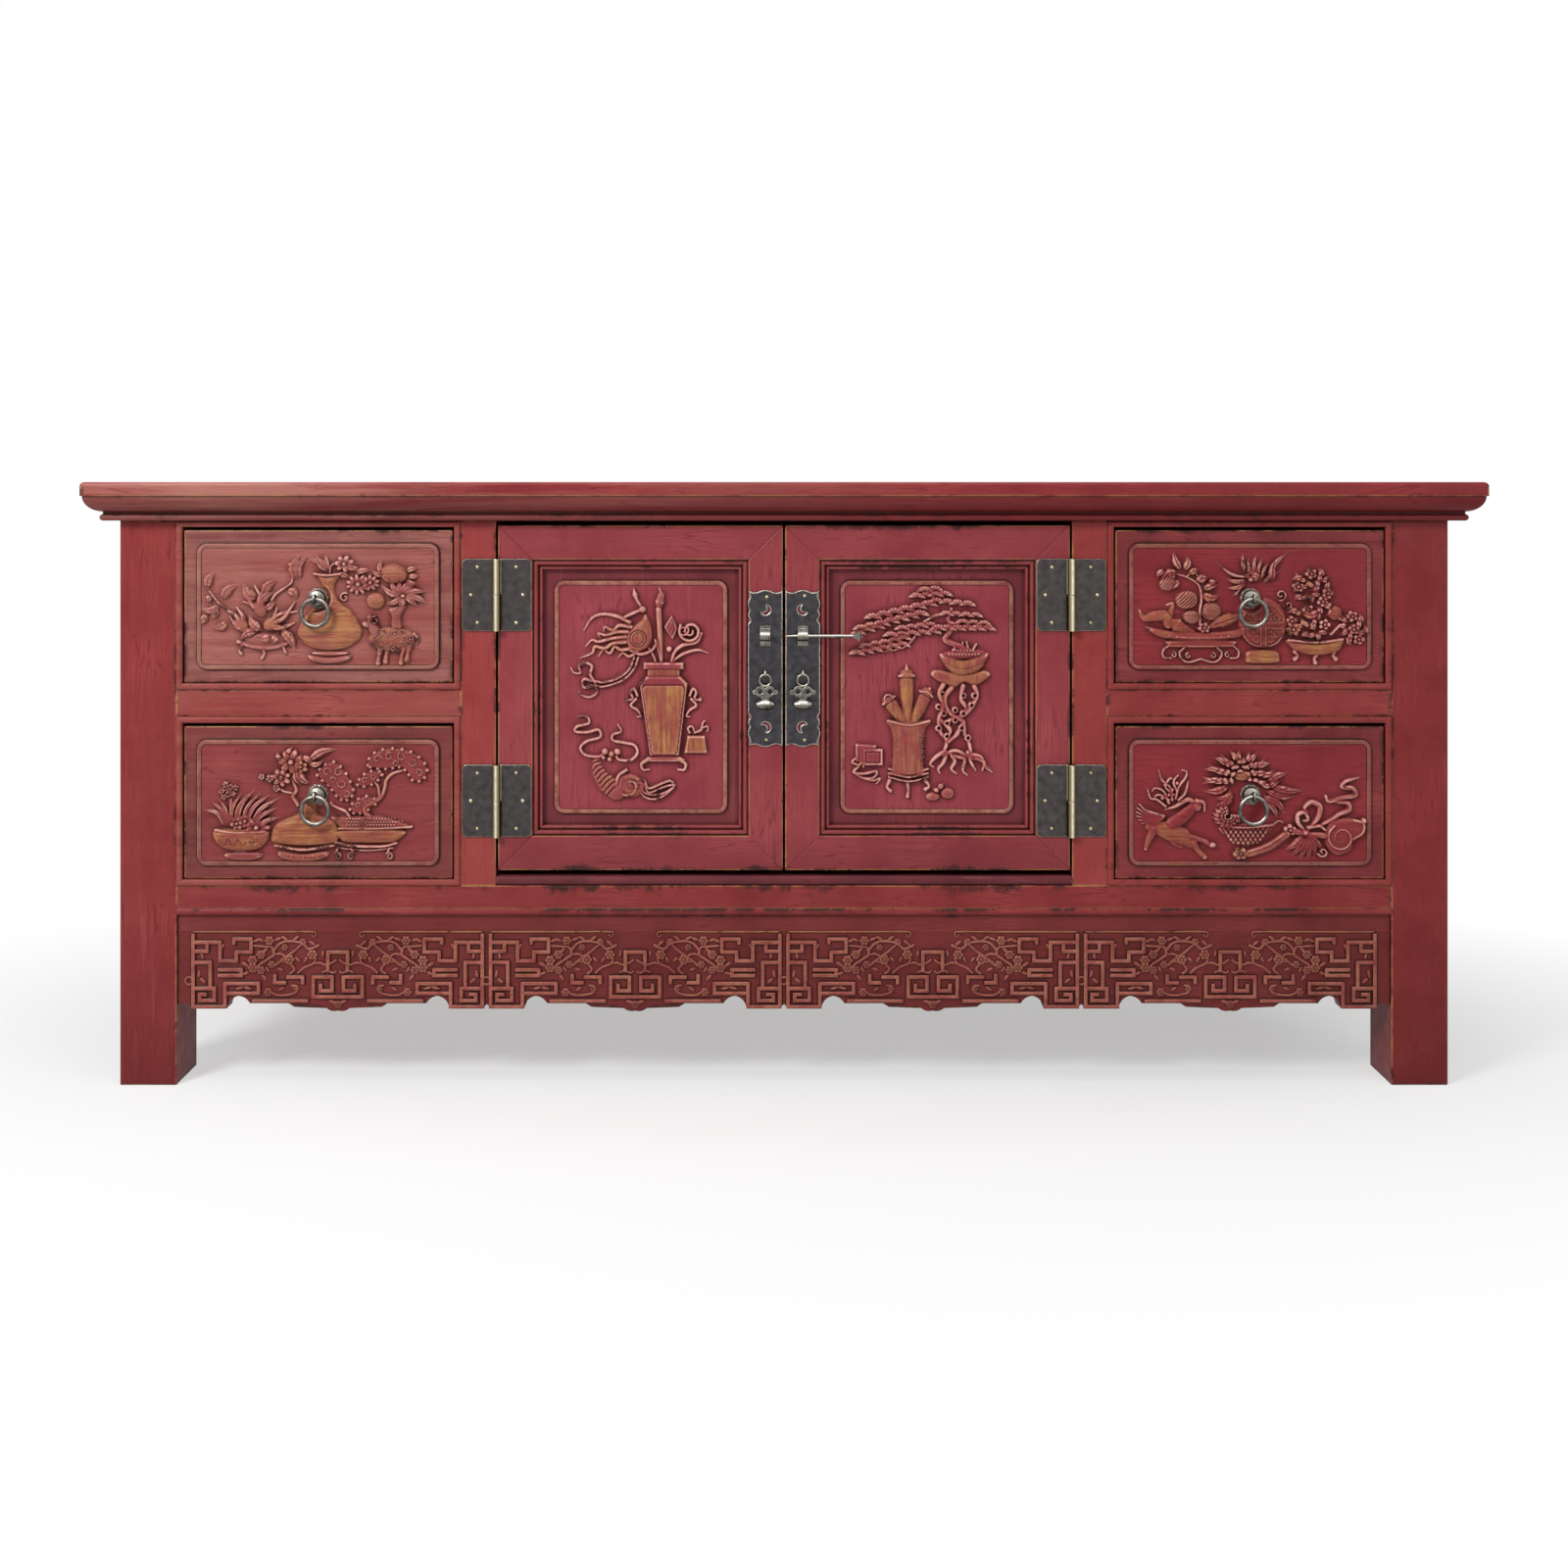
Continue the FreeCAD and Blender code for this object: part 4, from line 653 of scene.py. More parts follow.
    def scroll(self, centre, radius, turns, start, half, top, gilt=0):
        """A spiral ridge that winds in from its radius; negative turns wind the other way."""
        count = int(abs(turns) * 10) + 2
        points = []
        for share in np.linspace(0, 1, count):
            angle = math.radians(start) + turns * 2 * math.pi * share
            away = radius * (1 - 0.8 * share)
            points.append(around(centre, (away, away), angle))
        self.stroke(points, [half, half, half * 0.8], top, gilt)

    def finished(self, marks):
        """Heights with the soft tool marks of hand scraping on the ground."""
        across, up = np.meshgrid(self.u, self.v)
        waves = np.sin(across / 5.3 + 1.7 * np.sin(up / 13)) * np.sin(up / 4.1 + 1.3 * np.sin(across / 17))
        return self.height + marks * (1 + waves)


def softened(heights, reach):
    """Heights averaged over a square of cells, twice."""
    cells = np.ones(2 * reach + 1)
    for _ in range(2):
        for axis in (0, 1):
            wide = np.apply_along_axis(
                lambda row: np.convolve(np.pad(row, reach, "edge"), cells, "valid"), axis, heights)
            heights = wide / len(cells)
    return heights


TOOL_MARKS = 0.12       # half the height of the waves scraped in the ground
GROUND_PROUD = 0.1      # how far the ground stands in front of the field
BACK_SUNK = 0.3         # how far the piece's back lies inside the field
# Ridges and hollows of a carving, which its lacquer paints with highlight and with shade
RIDGE_REACH = 2         # grid cells round a ridge or a crease
RIDGE_FULL = 1.1        # the height above those cells that is all ridge
CREASE_FULL = 1.6       # the depth below them that gets the full painted shade of a crease
HOLLOW_REACH = 6        # grid cells round a wide hollow
HOLLOW_FULL = 3.5
HOLLOW_MOST = 0.8       # painted shade in a wide hollow is never as dark as in a crease


def carved_piece(name, carving, centre, face, body, key):
    """A closed piece whose front is the carving; centre is (X, Z) and face is Y, in metres."""
    heights = carving.finished(TOOL_MARKS)
    rows, columns = heights.shape
    across, up = np.meshgrid(carving.u, carving.v)
    front = np.stack([centre[0] + across * MM, face - (heights + GROUND_PROUD) * MM, centre[1] + up * MM], -1)
    count = rows * columns
    index = np.arange(count).reshape(rows, columns)
    quads = np.stack([index[:-1, :-1], index[:-1, 1:], index[1:, 1:], index[1:, :-1]], -1).reshape(-1, 4)
    rim = np.concatenate([index[0, :-1], index[:-1, -1], index[-1, :0:-1], index[:0:-1, 0]])
    back = front.reshape(-1, 3)[rim].copy()
    back[:, 1] = face + BACK_SUNK * MM
    middle = np.array([[centre[0], face + BACK_SUNK * MM, centre[1]]])
    rear = count + np.arange(len(rim))
    walls = np.stack([rim, rear, np.roll(rear, -1), np.roll(rim, -1)], -1)
    fan = np.stack([np.full(len(rim), count + len(rim)), np.roll(rear, -1), rear], -1)
    faces = [tuple(corners) for part in (quads, walls, fan) for corners in part.tolist()]
    mesh = bpy.data.meshes.new(name)
    mesh.from_pydata(np.vstack([front.reshape(-1, 3), back, middle]).tolist(), [], faces)
    mesh.update()
    spare = np.zeros(len(rim) + 1)
    # the ridge attribute carries rubbed wear and painted highlight, the hollow one painted shade
    proud = carving.height - softened(carving.height, RIDGE_REACH)
    ridge = np.clip(proud / RIDGE_FULL, 0, 1)
    sunk = softened(carving.height, HOLLOW_REACH) - carving.height
    hollow_shade = np.maximum(np.clip(-proud / CREASE_FULL, 0, 1), np.clip(sunk / HOLLOW_FULL, 0, HOLLOW_MOST))
    for label, values in (("ridge", ridge), ("hollow_shade", hollow_shade), ("gilt", carving.gilt)):
        layer = mesh.attributes.new(label, "FLOAT", "POINT")
        layer.data.foreach_set("value", np.concatenate([values.ravel(), spare]))
    mesh.shade_smooth()
    mesh.materials.append(MATERIALS[key])
    piece = bpy.data.objects.new(name, mesh)
    bpy.context.collection.objects.link(piece)
    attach(piece, body)


# The carved scenes, in millimetres from the middle of a front or a door. Where shapes overlap, the higher
# one shows, and grooves cut what was carved before them.
GOLDEN_ANGLE = 2.4      # turned by this, leaves and flowers never stand in rows


def hand_fruit(c, palm, tips, gilt=0.5):
    """A fingered citron: a swollen palm and curling fingers."""
    reach = np.mean(np.array(tips), 0) - palm
    c.dome(np.array(palm) + reach * 0.2, (11, 8), 4.2, math.degrees(math.atan2(reach[1], reach[0])), gilt)
    for k, tip in enumerate(tips):
        side = np.array([-(tip[1] - palm[1]), tip[0] - palm[0]]) * (0.14 if k % 2 else -0.12)
        middle = (np.array(palm) + tip) / 2 + side
        c.stroke([palm, middle, tip], [2.4, 3.4, 2.6, 1.2], 4.6 - 0.3 * (k % 3), gilt * 0.6)


def ribbed_fruit(c, centre, radii, turn, gilt, ribs):
    """A seeded fruit with slanting rows cut into it."""
    c.dome(centre, radii, 4.8, turn, gilt)
    angle = math.radians(turn + 35)
    along = np.array([math.cos(angle), math.sin(angle)])
    across = np.array([-along[1], along[0]])
    for k in range(ribs):
        spot = np.array(centre) + across * radii[1] * (k - (ribs - 1) / 2) * 1.7 / ribs
        c.cut([spot - along * radii[0] * 0.8, spot + along * radii[0] * 0.8], 0.8, 1.1, True)


def seeded(c, centre, radii, spacing, half, top):
    """Small beads in staggered rows inside an oval."""
    for row, v in enumerate(np.arange(-radii[1], radii[1], spacing)):
        for u in np.arange(-radii[0], radii[0], spacing) + (row % 2) * spacing / 2:
            if (u / radii[0]) ** 2 + (v / radii[1]) ** 2 < 0.8:
                c.dome((centre[0] + u, centre[1] + v), (half, half), top, over=True, gilt=0.4)


def carve_upper_left(c):
    """Citrons on a footed dish, a bottle vase of flowers, and a curly ram vessel with fruit."""
    c.spray([((-135, 22), (-126, 43), 5, 0.12), ((-117, 8), (-97, 27), 5.5, 0.14),
             ((-137, 8), (-127, 12), 4, 0), ((-120, 2), (-143, -3), 4.2, 0.2),
             ((-136, -8), (-146, -22), 4, 0.1), ((-123, -2), (-132, -15), 4.4, 0.1),
             ((-110, -19), (-129, -26), 4.8, 0.12), ((-72, 10), (-91, 27), 6.5, 0.2),
             ((-67, 14), (-49, 32), 5.4, 0.14), ((-70, 2), (-53, 17), 5, 0.16),
             ((-65, -4), (-52, 9), 4, -0.1), ((-38, 20), (-26, 8), 5, 0.25)])
    c.stroke([(-135, 22), (-123, 7), (-117, 1), (-108, -6)], [1.2, 1.5, 1.6], 2.6)
    c.stroke([(-56, 8), (-50, 16), (-33, 28), (-31, 36)], [1.8, 1.6, 1.2], 2.8)
    hand_fruit(c, (-90, -25), [(-112, -4), (-107, -12), (-99, -1), (-102, -24)])
    hand_fruit(c, (-68, -8), [(-91, 6), (-86, 23), (-77, 25), (-66, 22)], 0.2)
    hand_fruit(c, (-62, -24), [(-28, 5), (-25, -6), (-28, -20), (-38, -30), (-50, -2)])
    c.dome((-64, -41), (26, 9), 3)
    c.spray([((-73, -30), (-94, -41), 5.5, -0.15), ((-55, -36), (-74, -38), 5.5, 0.12),
             ((-49, -33), (-58, -45), 5.5, 0.12), ((-45, -29), (-28, -54), 5.5, 0.12),
             ((-68, -29), (-84, -11), 5.5, 0.12)], 4)
    c.stroke([(-97, -43), (-82, -48), (-66, -50), (-50, -49), (-37, -45)], [2.6, 3.4, 2.6], 3.4)
    for foot in ([(-92, -47), (-96, -53), (-93, -58)], [(-67, -52), (-65, -57), (-68, -63)],
                 [(-42, -49), (-39, -57)]):
        c.stroke(foot, [2.4, 1.8, 2.2], 2.6)

    c.spray([((-26, 31), (-23, 63), 5.5, 0.16), ((-22, 32), (-12, 62), 4.2, 0.2),
             ((14, 40), (-13, 57), 4.5, -0.2), ((14, 42), (-3, 66), 4, 0.1), ((14, 42), (9, 66), 3, 0),
             ((30, 46), (56, 42), 3.4, 0.12), ((46, 40), (66, 44), 3.4, 0.1), ((26, 46), (50, 52), 3.2, 0.1),
             ((24, 40), (40, 34), 3.4, 0.1)])
    c.stroke([(15, 40), (17, 50), (30, 56)], [1.2, 1.2], 2.4)
    c.dome((-33, 51), (3, 3), 2.6)
    c.plate([(-4, 41), (12, 38), (29, 41), (22, 30), (21, 18), (26, 7), (41, -6), (51, -21), (55, -31),
             (49, -42), (34, -51), (15, -54), (-6, -51), (-19, -42), (-25, -32), (-19, -17), (-6, -2),
             (4, 9), (5, 18), (4, 30)], 4.6, 15, 0.95)
    c.stroke([(-4, 40), (12, 38), (29, 40)], [1.8, 1.8], 4.6)
    for level, half in ((6, 20), (4, 22)):
        c.cut([(15 - half, -level), (15, -level - 4), (15 + half, -level)], 0.6, 0.6)
    c.plate([(-3, -55), (33, -55), (35, -59), (15, -61), (-5, -59)], 2.4, 3)
    c.plate([(-11, -59), (15, -62), (40, -59), (37, -66), (15, -70), (-6, -67)], 3.4, 4)
    c.scroll((33, 11), 6, 1.1, 60, 1.3, 2.6)
    c.bloom((33, 52), 12, 7, 4.2, 20, 0.8)
    c.bloom((50, 27), 15, 11, 4.0, 0, 0.75)
    c.bloom((65, 29), 11, 9, 4.2, 15, 0.8)

    c.dome((93, 40), (17, 12.5), 5, -5, 0.7)
    seeded(c, (93, 40), (15, 10.5), 4, 1.1, 0.7)
    c.spray([((108, 42), (124, 47), 3.2, 0.1), ((110, 37), (125, 37), 3.2, 0),
             ((108, 32), (124, 27), 3.2, -0.1), ((80, 38), (78, 58), 3.4, 0.15),
             ((80, 38), (66, 44), 3.4, 0.1)])
    c.dome((71, 7), (11.5, 10), 5, 0, 0.5)
    seeded(c, (71, 7), (10, 8.6), 3.4, 0.9, 0.6)
    c.plate([(91, -27), (103, -27), (102, -12), (108, 2), (88, -2), (90, -12)], 3.4, 6)
    for tip in ((77, 26), (88, 33), (100, 33), (112, 31), (120, 27), (132, 18), (135, 3), (122, -1),
                (98, -4), (84, 3)):
        c.leaf((105, 13), tip, 4.2, 0.1, 3.8)
    c.dome((105, 13), (4, 3.4), 4.8)
    c.dome((91, -40), (29, 15), 4.6, 0, 0.6)
    c.stroke([(72, -34), (66, -22), (64, -14)], [7, 6, 4], 4)
    c.dome((60, -22), (6, 4), 4, -20)
    c.scroll((70, -17), 5, 1.3, 90, 1.2, 4.8)
    for row, v in enumerate((-31, -38, -45, -51)):
        for k in range(7):
            u = 68 + 7.2 * k + (row % 2) * 3.4
            if abs(u - 91) < 25 - 9 * (row in (0, 3)):
                c.scroll((u, v), 2.9, 1.2 if k % 2 else -1.2, 70 * k, 0.75, 5.4, 0.5)
    for foot in ((77, -52), (105, -52), (86, -50), (112, -48)):
        c.stroke([foot, (foot[0] - 2, foot[1] - 9), (foot[0] - 3, foot[1] - 17)], [4, 2.6, 3.6], 3.4)
    c.stroke([(118, -34), (123, -40), (120, -46)], [2.5, 2, 1], 3)


def cloud_pad(c, outline, scrolls):
    """A cloud-shaped pad of pine with a raised edge and small spirals."""
    top = 3.4
    c.plate(outline, top * 0.62, 3)
    for spot in smooth(outline, True, 3)[::2]:
        c.dome(spot, (2.5, 2.5), top)
    for u, v, radius, start in scrolls:
        c.scroll((u, v), radius, 1.4, start, 1.0, top)


def carve_lower_left(c):
    """Narcissus in a bowl, a squat vase with peonies, and a cloud pine in a tray."""
    blades = [((-112, -31), (-141, -9), -0.25), ((-110, -31), (-132, 2), -0.18),
              ((-109, -31), (-122, 6), -0.12), ((-108, -31), (-108, 12), -0.08),
              ((-104, -31), (-93, 13), 0.12), ((-100, -31), (-84, 14), 0.1), ((-98, -31), (-76, 18), 0.12),
              ((-92, -31), (-68, 14), 0.12), ((-88, -30), (-56, 11), 0.14), ((-82, -28), (-46, 6), 0.12),
              ((-80, -28), (-48, -6), 0.1), ((-76, -30), (-46, -18), 0.08)]
    for base, tip, bend in blades:
        c.leaf(base, tip, 2.9, bend, 3.2)
    for k in range(9):
        away = 2.2 * math.sqrt(k + 0.3) * 1.6
        c.bloom(around((-110, 15), (away, away * 0.9), GOLDEN_ANGLE * k), 3.6, 5, 3.6, 30 * k)
    c.bloom((-98, -25), 9, 6, 4.2, 10)
    c.bloom((-74, -30), 16, 9, 4.4, 0, 0.75)
    c.bloom((-88, -22), 9, 6, 4.2, 20)
    c.plate([(-125, -33), (-93, -31), (-62, -33), (-60, -44), (-70, -55), (-85, -59), (-104, -59),
             (-117, -54), (-126, -45)], 4.4, 10, 0.8)
    c.stroke([(-124, -33), (-100, -36), (-64, -35)], [2.2, 2.4, 2.2], 4.8, 0.3)
    for k in range(5):
        c.cut([(-120 + 12 * k, -44), (-114 + 12 * k, -52), (-108 + 12 * k, -44)], 0.8, 0.9)
    c.bloom((-78, -46), 9, 6, 5.2, 0, 0.9, 0.7)
    c.plate([(-107, -60), (-74, -60), (-67, -65), (-80, -70), (-102, -70), (-114, -65)], 3, 4)

    c.plate([(-20, 2), (-4, 2), (1, -14), (20, -22), (27, -38), (20, -50), (-18, -53), (-50, -50),
             (-57, -42), (-51, -26), (-30, -16), (-22, -10)], 4.8, 14, 0.95)
    c.cut([(-56, -47), (-18, -53), (24, -48)], 0.8, 1)
    c.stroke([(-52, -52), (-18, -57), (20, -52)], [1.6, 2, 1.6], 3.8, 0.7)
    c.plate([(-46, -59), (-18, -62), (11, -59), (12, -66), (-6, -71), (-32, -71), (-47, -66)], 2.8, 4, 0.5)
    for k in range(9):
        c.scroll((-42 + 6.2 * k, -65.5), 2.2, 1, 60 * k, 0.7, 3.5, 0.5)
    c.stroke([(-32, 30), (-26, 16), (-30, 8), (-24, -2)], [1.6, 2.6, 3], 2.6, 0.4)
    c.stroke([(-52, 32), (-44, 16), (-32, 12)], [1.2, 1.4, 1.6], 2.6)
    for spot, radius, petals in (((-32, 50), 16, 7), ((-44, 31), 12, 7), ((-20, 44), 9, 6),
                                 ((-58, 30), 5, 5), ((-68, 32), 4, 5), ((-50, 18), 5, 5)):
        c.bloom(spot, radius, petals, 4.4, 25 * petals, 0.9, 0.2)
    c.spray([((-12, 50), (24, 66), 4.5, 0.12), ((-12, 50), (8, 52), 3.4, -0.2),
             ((-24, 42), (-8, 22), 4.6, -0.15), ((-26, 42), (-20, 20), 4.4, -0.1),
             ((-38, 60), (-30, 68), 3, 0), ((-44, 52), (-50, 62), 3, 0.1), ((-20, 56), (-6, 44), 3.6, 0.2)],
            3.6)

    c.stroke([(64, -18), (58, -10), (60, -4), (76, 6), (82, 18), (84, 28), (92, 36), (104, 40)],
             [4, 3.4, 3, 2.6, 2.4, 2], 3.8)
    c.stroke([(40, -18), (34, -10), (20, -4), (16, 0)], [2.6, 2.2, 1.4], 3.2)
    c.stroke([(76, 8), (74, 20), (68, 28)], [1.8, 1.6], 2.8)
    cloud_pad(c, [(62, 46), (66, 58), (80, 65), (98, 66), (114, 62), (128, 52), (134, 40), (128, 28),
                  (116, 28), (110, 38), (100, 44), (88, 42), (74, 42)],
              [(74, 54, 5, 0), (88, 57, 5, 60), (103, 57, 5, 120), (117, 50, 5, 200), (124, 38, 4.5, 260),
               (96, 48, 4, 30)])
    cloud_pad(c, [(0, 34), (6, 44), (20, 50), (32, 40), (40, 26), (44, 12), (36, 4), (26, 6), (18, 16),
                  (10, 24)],
              [(12, 38, 5, 0), (26, 38, 5, 80), (30, 24, 5.5, 160), (36, 12, 4, 230), (19, 28, 4, 20)])
    cloud_pad(c, [(49, 22), (54, 32), (66, 39), (79, 37), (74, 28), (62, 21)],
              [(58, 28, 3.4, 40), (69, 32, 3.4, 120)])
    cloud_pad(c, [(40, -8), (46, 2), (60, 8), (72, 2), (62, -8), (48, -13)],
              [(50, -3, 3.6, 40), (62, 1, 3.4, 160)])
    c.plate([(15, -17), (75, -15), (116, -28), (112, -32), (28, -32)], 2.6, 4, 0.3, straight=True)
    seeded(c, (66, -23), (42, 7), 3.6, 1.3, 1.4)
    c.stroke([(26, -31), (70, -31), (115, -29)], [1.8, 2, 1.8], 3.8, 0.2)
    c.plate([(24, -33), (104, -33), (97, -46), (84, -49), (40, -49), (28, -45)], 3.6, 6, 0.7)
    seeded(c, (64, -41), (32, 5), 3.2, 0.9, 0.6)
    c.stroke([(22, -48), (40, -52), (78, -53), (96, -49)], [2, 2.4, 2], 3.6)
    c.stroke([(26, -55), (60, -58), (92, -55)], [1.2, 1.2], 2.4)
    for u, way in ((25, -1), (41, 1), (88, -1)):
        c.stroke([(u, -55), (u + 3 * way, -62)], [2, 1.6], 2.8)
        c.scroll((u, -65), 4, 1.2 * way, 90, 1.1, 3)


def rock_plant(c, spots, top):
    """A tangle of ruffled leaves with small blossoms among them."""
    for k, (u, v) in enumerate(spots):
        if k % 3 == 1:
            c.bloom((u, v), 7.5, 5, top + 0.4, 41 * k, 0.9)
            continue
        for j in range(3):
            angle = GOLDEN_ANGLE * k + 1.7 * j + 0.4 * (j % 2)
            long = 8 + 2 * ((k + j) % 3)
            bend = 0.22 if (k + j) % 2 else -0.16
            c.leaf(around((u, v), (-3, -3), angle), around((u, v), (long, long), angle),
                   3, bend, top - 0.4 * j)


def carve_upper_right(c):
    """A boat-shaped fruit dish on a scroll stand, a round bronze with grasses, a rock plant in a bowl."""
    c.stroke([(-62, -22), (-62, -6), (-60, 12), (-64, 27), (-78, 36), (-92, 40)], [2, 1.8, 1.6, 1.4, 1.2], 3)
    c.stroke([(-78, 36), (-70, 44), (-64, 36)], [1.2, 1.2], 2.4)
    c.spray([((-90, 40), (-112, 40), 5, 0.15), ((-88, 42), (-110, 28), 5, -0.2),
             ((-84, 44), (-94, 68), 4, 0.1), ((-82, 44), (-76, 62), 4.4, -0.12),
             ((-76, 40), (-62, 44), 4, 0.1), ((-66, 30), (-50, 34), 5, 0.15), ((-66, 30), (-58, 38), 3.4, 0),
             ((-60, 16), (-37, 14), 5, -0.2), ((-58, 20), (-38, 26), 4, 0.1), ((-52, 30), (-40, 30), 3, 0),
             ((-86, 32), (-98, 18), 4, -0.1), ((-104, 44), (-114, 34), 3.4, -0.2)], 3.2)
    ribbed_fruit(c, (-101, 28), (11, 9), 20, 0.5, 6)
    ribbed_fruit(c, (-78, 8), (14, 11.5), 10, 0.6, 6)
    ribbed_fruit(c, (-48, -6), (12.5, 11.5), -5, 0.5, 7)
    ribbed_fruit(c, (-72, -13), (11, 8.5), 0, 0.5, 6)
    c.stroke([(-136, -4), (-130, -14), (-118, -12), (-104, -12), (-100, -22)], [1, 4.5, 6.5, 7, 6], 4.4, 0.6)
    c.stroke([(-102, 2), (-95, 3), (-97, -8), (-96, -18), (-84, -26), (-68, -31)], [1.4, 3, 3.6, 9, 6, 1.5],
             5, 0.5)
    c.stroke([(-46, -24), (-34, -18), (-20, -14), (-14, -12)], [4, 8, 7, 3], 4.6, 0.5)
    c.cut([(-44, -22), (-30, -17), (-16, -13)], 0.8, 1)
    c.cut([(-42, -27), (-28, -22), (-14, -17)], 0.8, 1)
    c.bloom((-57, -26), 8, 6, 5, 10, 0.8, 0.4)
    c.plate([(-128, -24), (-100, -29), (-62, -31), (-24, -29), (4, -23), (-4, -33), (-24, -40), (-62, -43),
             (-100, -40), (-119, -34)], 4, 6, 0.3)
    c.stroke([(-126, -27), (-96, -36), (-62, -38), (-26, -36), (2, -26)], [1.4, 2, 2, 1.4], 4.6)
    for k in range(9):
        c.dome((-100 + 9 * k, -36 - 2 * math.sin(k * math.pi / 8)), (3.2, 2), 4.8, 25, 0.3)
    c.plate([(-96, -41), (-24, -41), (-19, -47), (-24, -50), (-96, -50), (-102, -47)], 3, 3, 0.2)
    stand = -61
    for way in (-1, 1):
        c.stroke(mirrored([(38, -47), (46, -54), (45, -62), (36, -63)], stand, way), [1.2, 1.3, 1.3], 2.8)
        c.scroll((stand + 33 * way, -59), 3.6, 1.1 * way, 90, 1, 2.6)
        inner = mirrored([(20, -50), (26, -57), (22, -65), (14, -68), (0, -64)], stand, way)
        c.stroke(inner, [1.3, 1.3, 1.2], 2.8)
        c.scroll((stand + 15 * way, -60), 3.6, -1.1 * way, 90, 1, 2.6)

    for base, tip, half in (((-2, 34), (-44, 56), 1.6), ((-2, 36), (-38, 48), 1.6),
                            ((-6, 40), (-8, 66), 2.2), ((4, 30), (-2, 60), 2.6), ((6, 30), (8, 65), 2.6),
                            ((8, 30), (16, 60), 2.6), ((12, 32), (24, 54), 2.4), ((20, 34), (46, 66), 3),
                            ((16, 28), (38, 44), 2.6), ((-4, 32), (-30, 34), 3), ((-4, 30), (-30, 22), 3),
                            ((-6, 28), (-16, 4), 3), ((-8, 28), (-22, 12), 2.8)):
        c.leaf(base, tip, half, 0.1, 3.2)
    c.leaf((26, 30), (29, 56), 4.4, 0.05, 3.6)
    c.bloom((2, 37), 8, 5, 4.6, 30, 0.8, 0.4)
    c.leaf((-2, 38), (12, 32), 4.6, 0.2, 4.4, 0.6)
    belly = [around((15, -20), (30, 31), turn) for turn in np.linspace(0, 2 * math.pi, 12, False)]
    c.plate(belly, 3, 7, 0.2)
    quarter = [(3, 3), (25, 4), (24, 12), (17, 21), (9, 25), (3, 25), (3, 3)]
    for across in (-1, 1):
        for up in (-1, 1):
            c.stroke([(15 + across * u, -23 + up * v) for u, v in quarter], [1, 1], 4.2, 0.3, straight=True)
            c.scroll((15 + across * 9, -23 + up * 17), 4.4, 1.5 * across, 90, 0.9, 4.2, 0.4)
            c.scroll((15 + across * 16, -23 + up * 10), 4.6, -1.5 * across, 0, 0.9, 4.2, 0.4)
            c.scroll((15 + across * 8, -23 + up * 8), 2.6, 1.2 * up, 180, 0.8, 4, 0.4)
    c.scroll((37, 14), 7, 1.2, 260, 1.2, 3.2)
    c.scroll((46, 2), 5, 1.1, 200, 1.1, 3)
    c.plate([(-2, -54), (30, -54), (36, -64), (30, -69), (-2, -69), (-6, -63)], 3.4, 5, 0.95)

    rock_plant(c, [(62, 34), (74, 40), (86, 38), (92, 30), (58, 24), (68, 26), (80, 26), (94, 16), (62, 12),
                   (76, 12), (88, 6)], 3.8)
    rock_plant(c, [(56, -6), (70, -4), (84, -8), (96, -2), (50, -18), (62, -22), (76, -20), (90, -22),
                   (70, -34), (84, -34)], 4)
    rock_plant(c, [(112, -14), (124, -12), (134, -18), (114, -26), (126, -28), (138, -30), (120, -38),
                   (132, -40)], 3.6)
    c.dome((103, -8), (9, 9), 4.6, 0, 0.4)
    c.leaf((84, -6), (62, -8), 5.5, 0.15, 4.4)
    c.bloom((52, -28), 9, 6, 4.6, 0, 0.9, 0.7)
    c.stroke([(98, -34), (108, -24), (118, -18)], [2, 1.8, 1.4], 3.4)
    c.plate([(45, -40), (80, -44), (112, -38), (112, -48), (104, -56), (80, -60), (58, -56), (47, -48)],
            4.6, 9, 0.9)
    c.stroke([(46, -41), (80, -44), (112, -40)], [1.8, 1.8], 5)
    for foot in ([(54, -55), (57, -60), (54, -64)], [(80, -59), (78, -64), (79, -69)],
                 [(102, -55), (101, -60), (104, -64)]):
        c.stroke(foot, [3.2, 2.4, 3.2], 3.4)


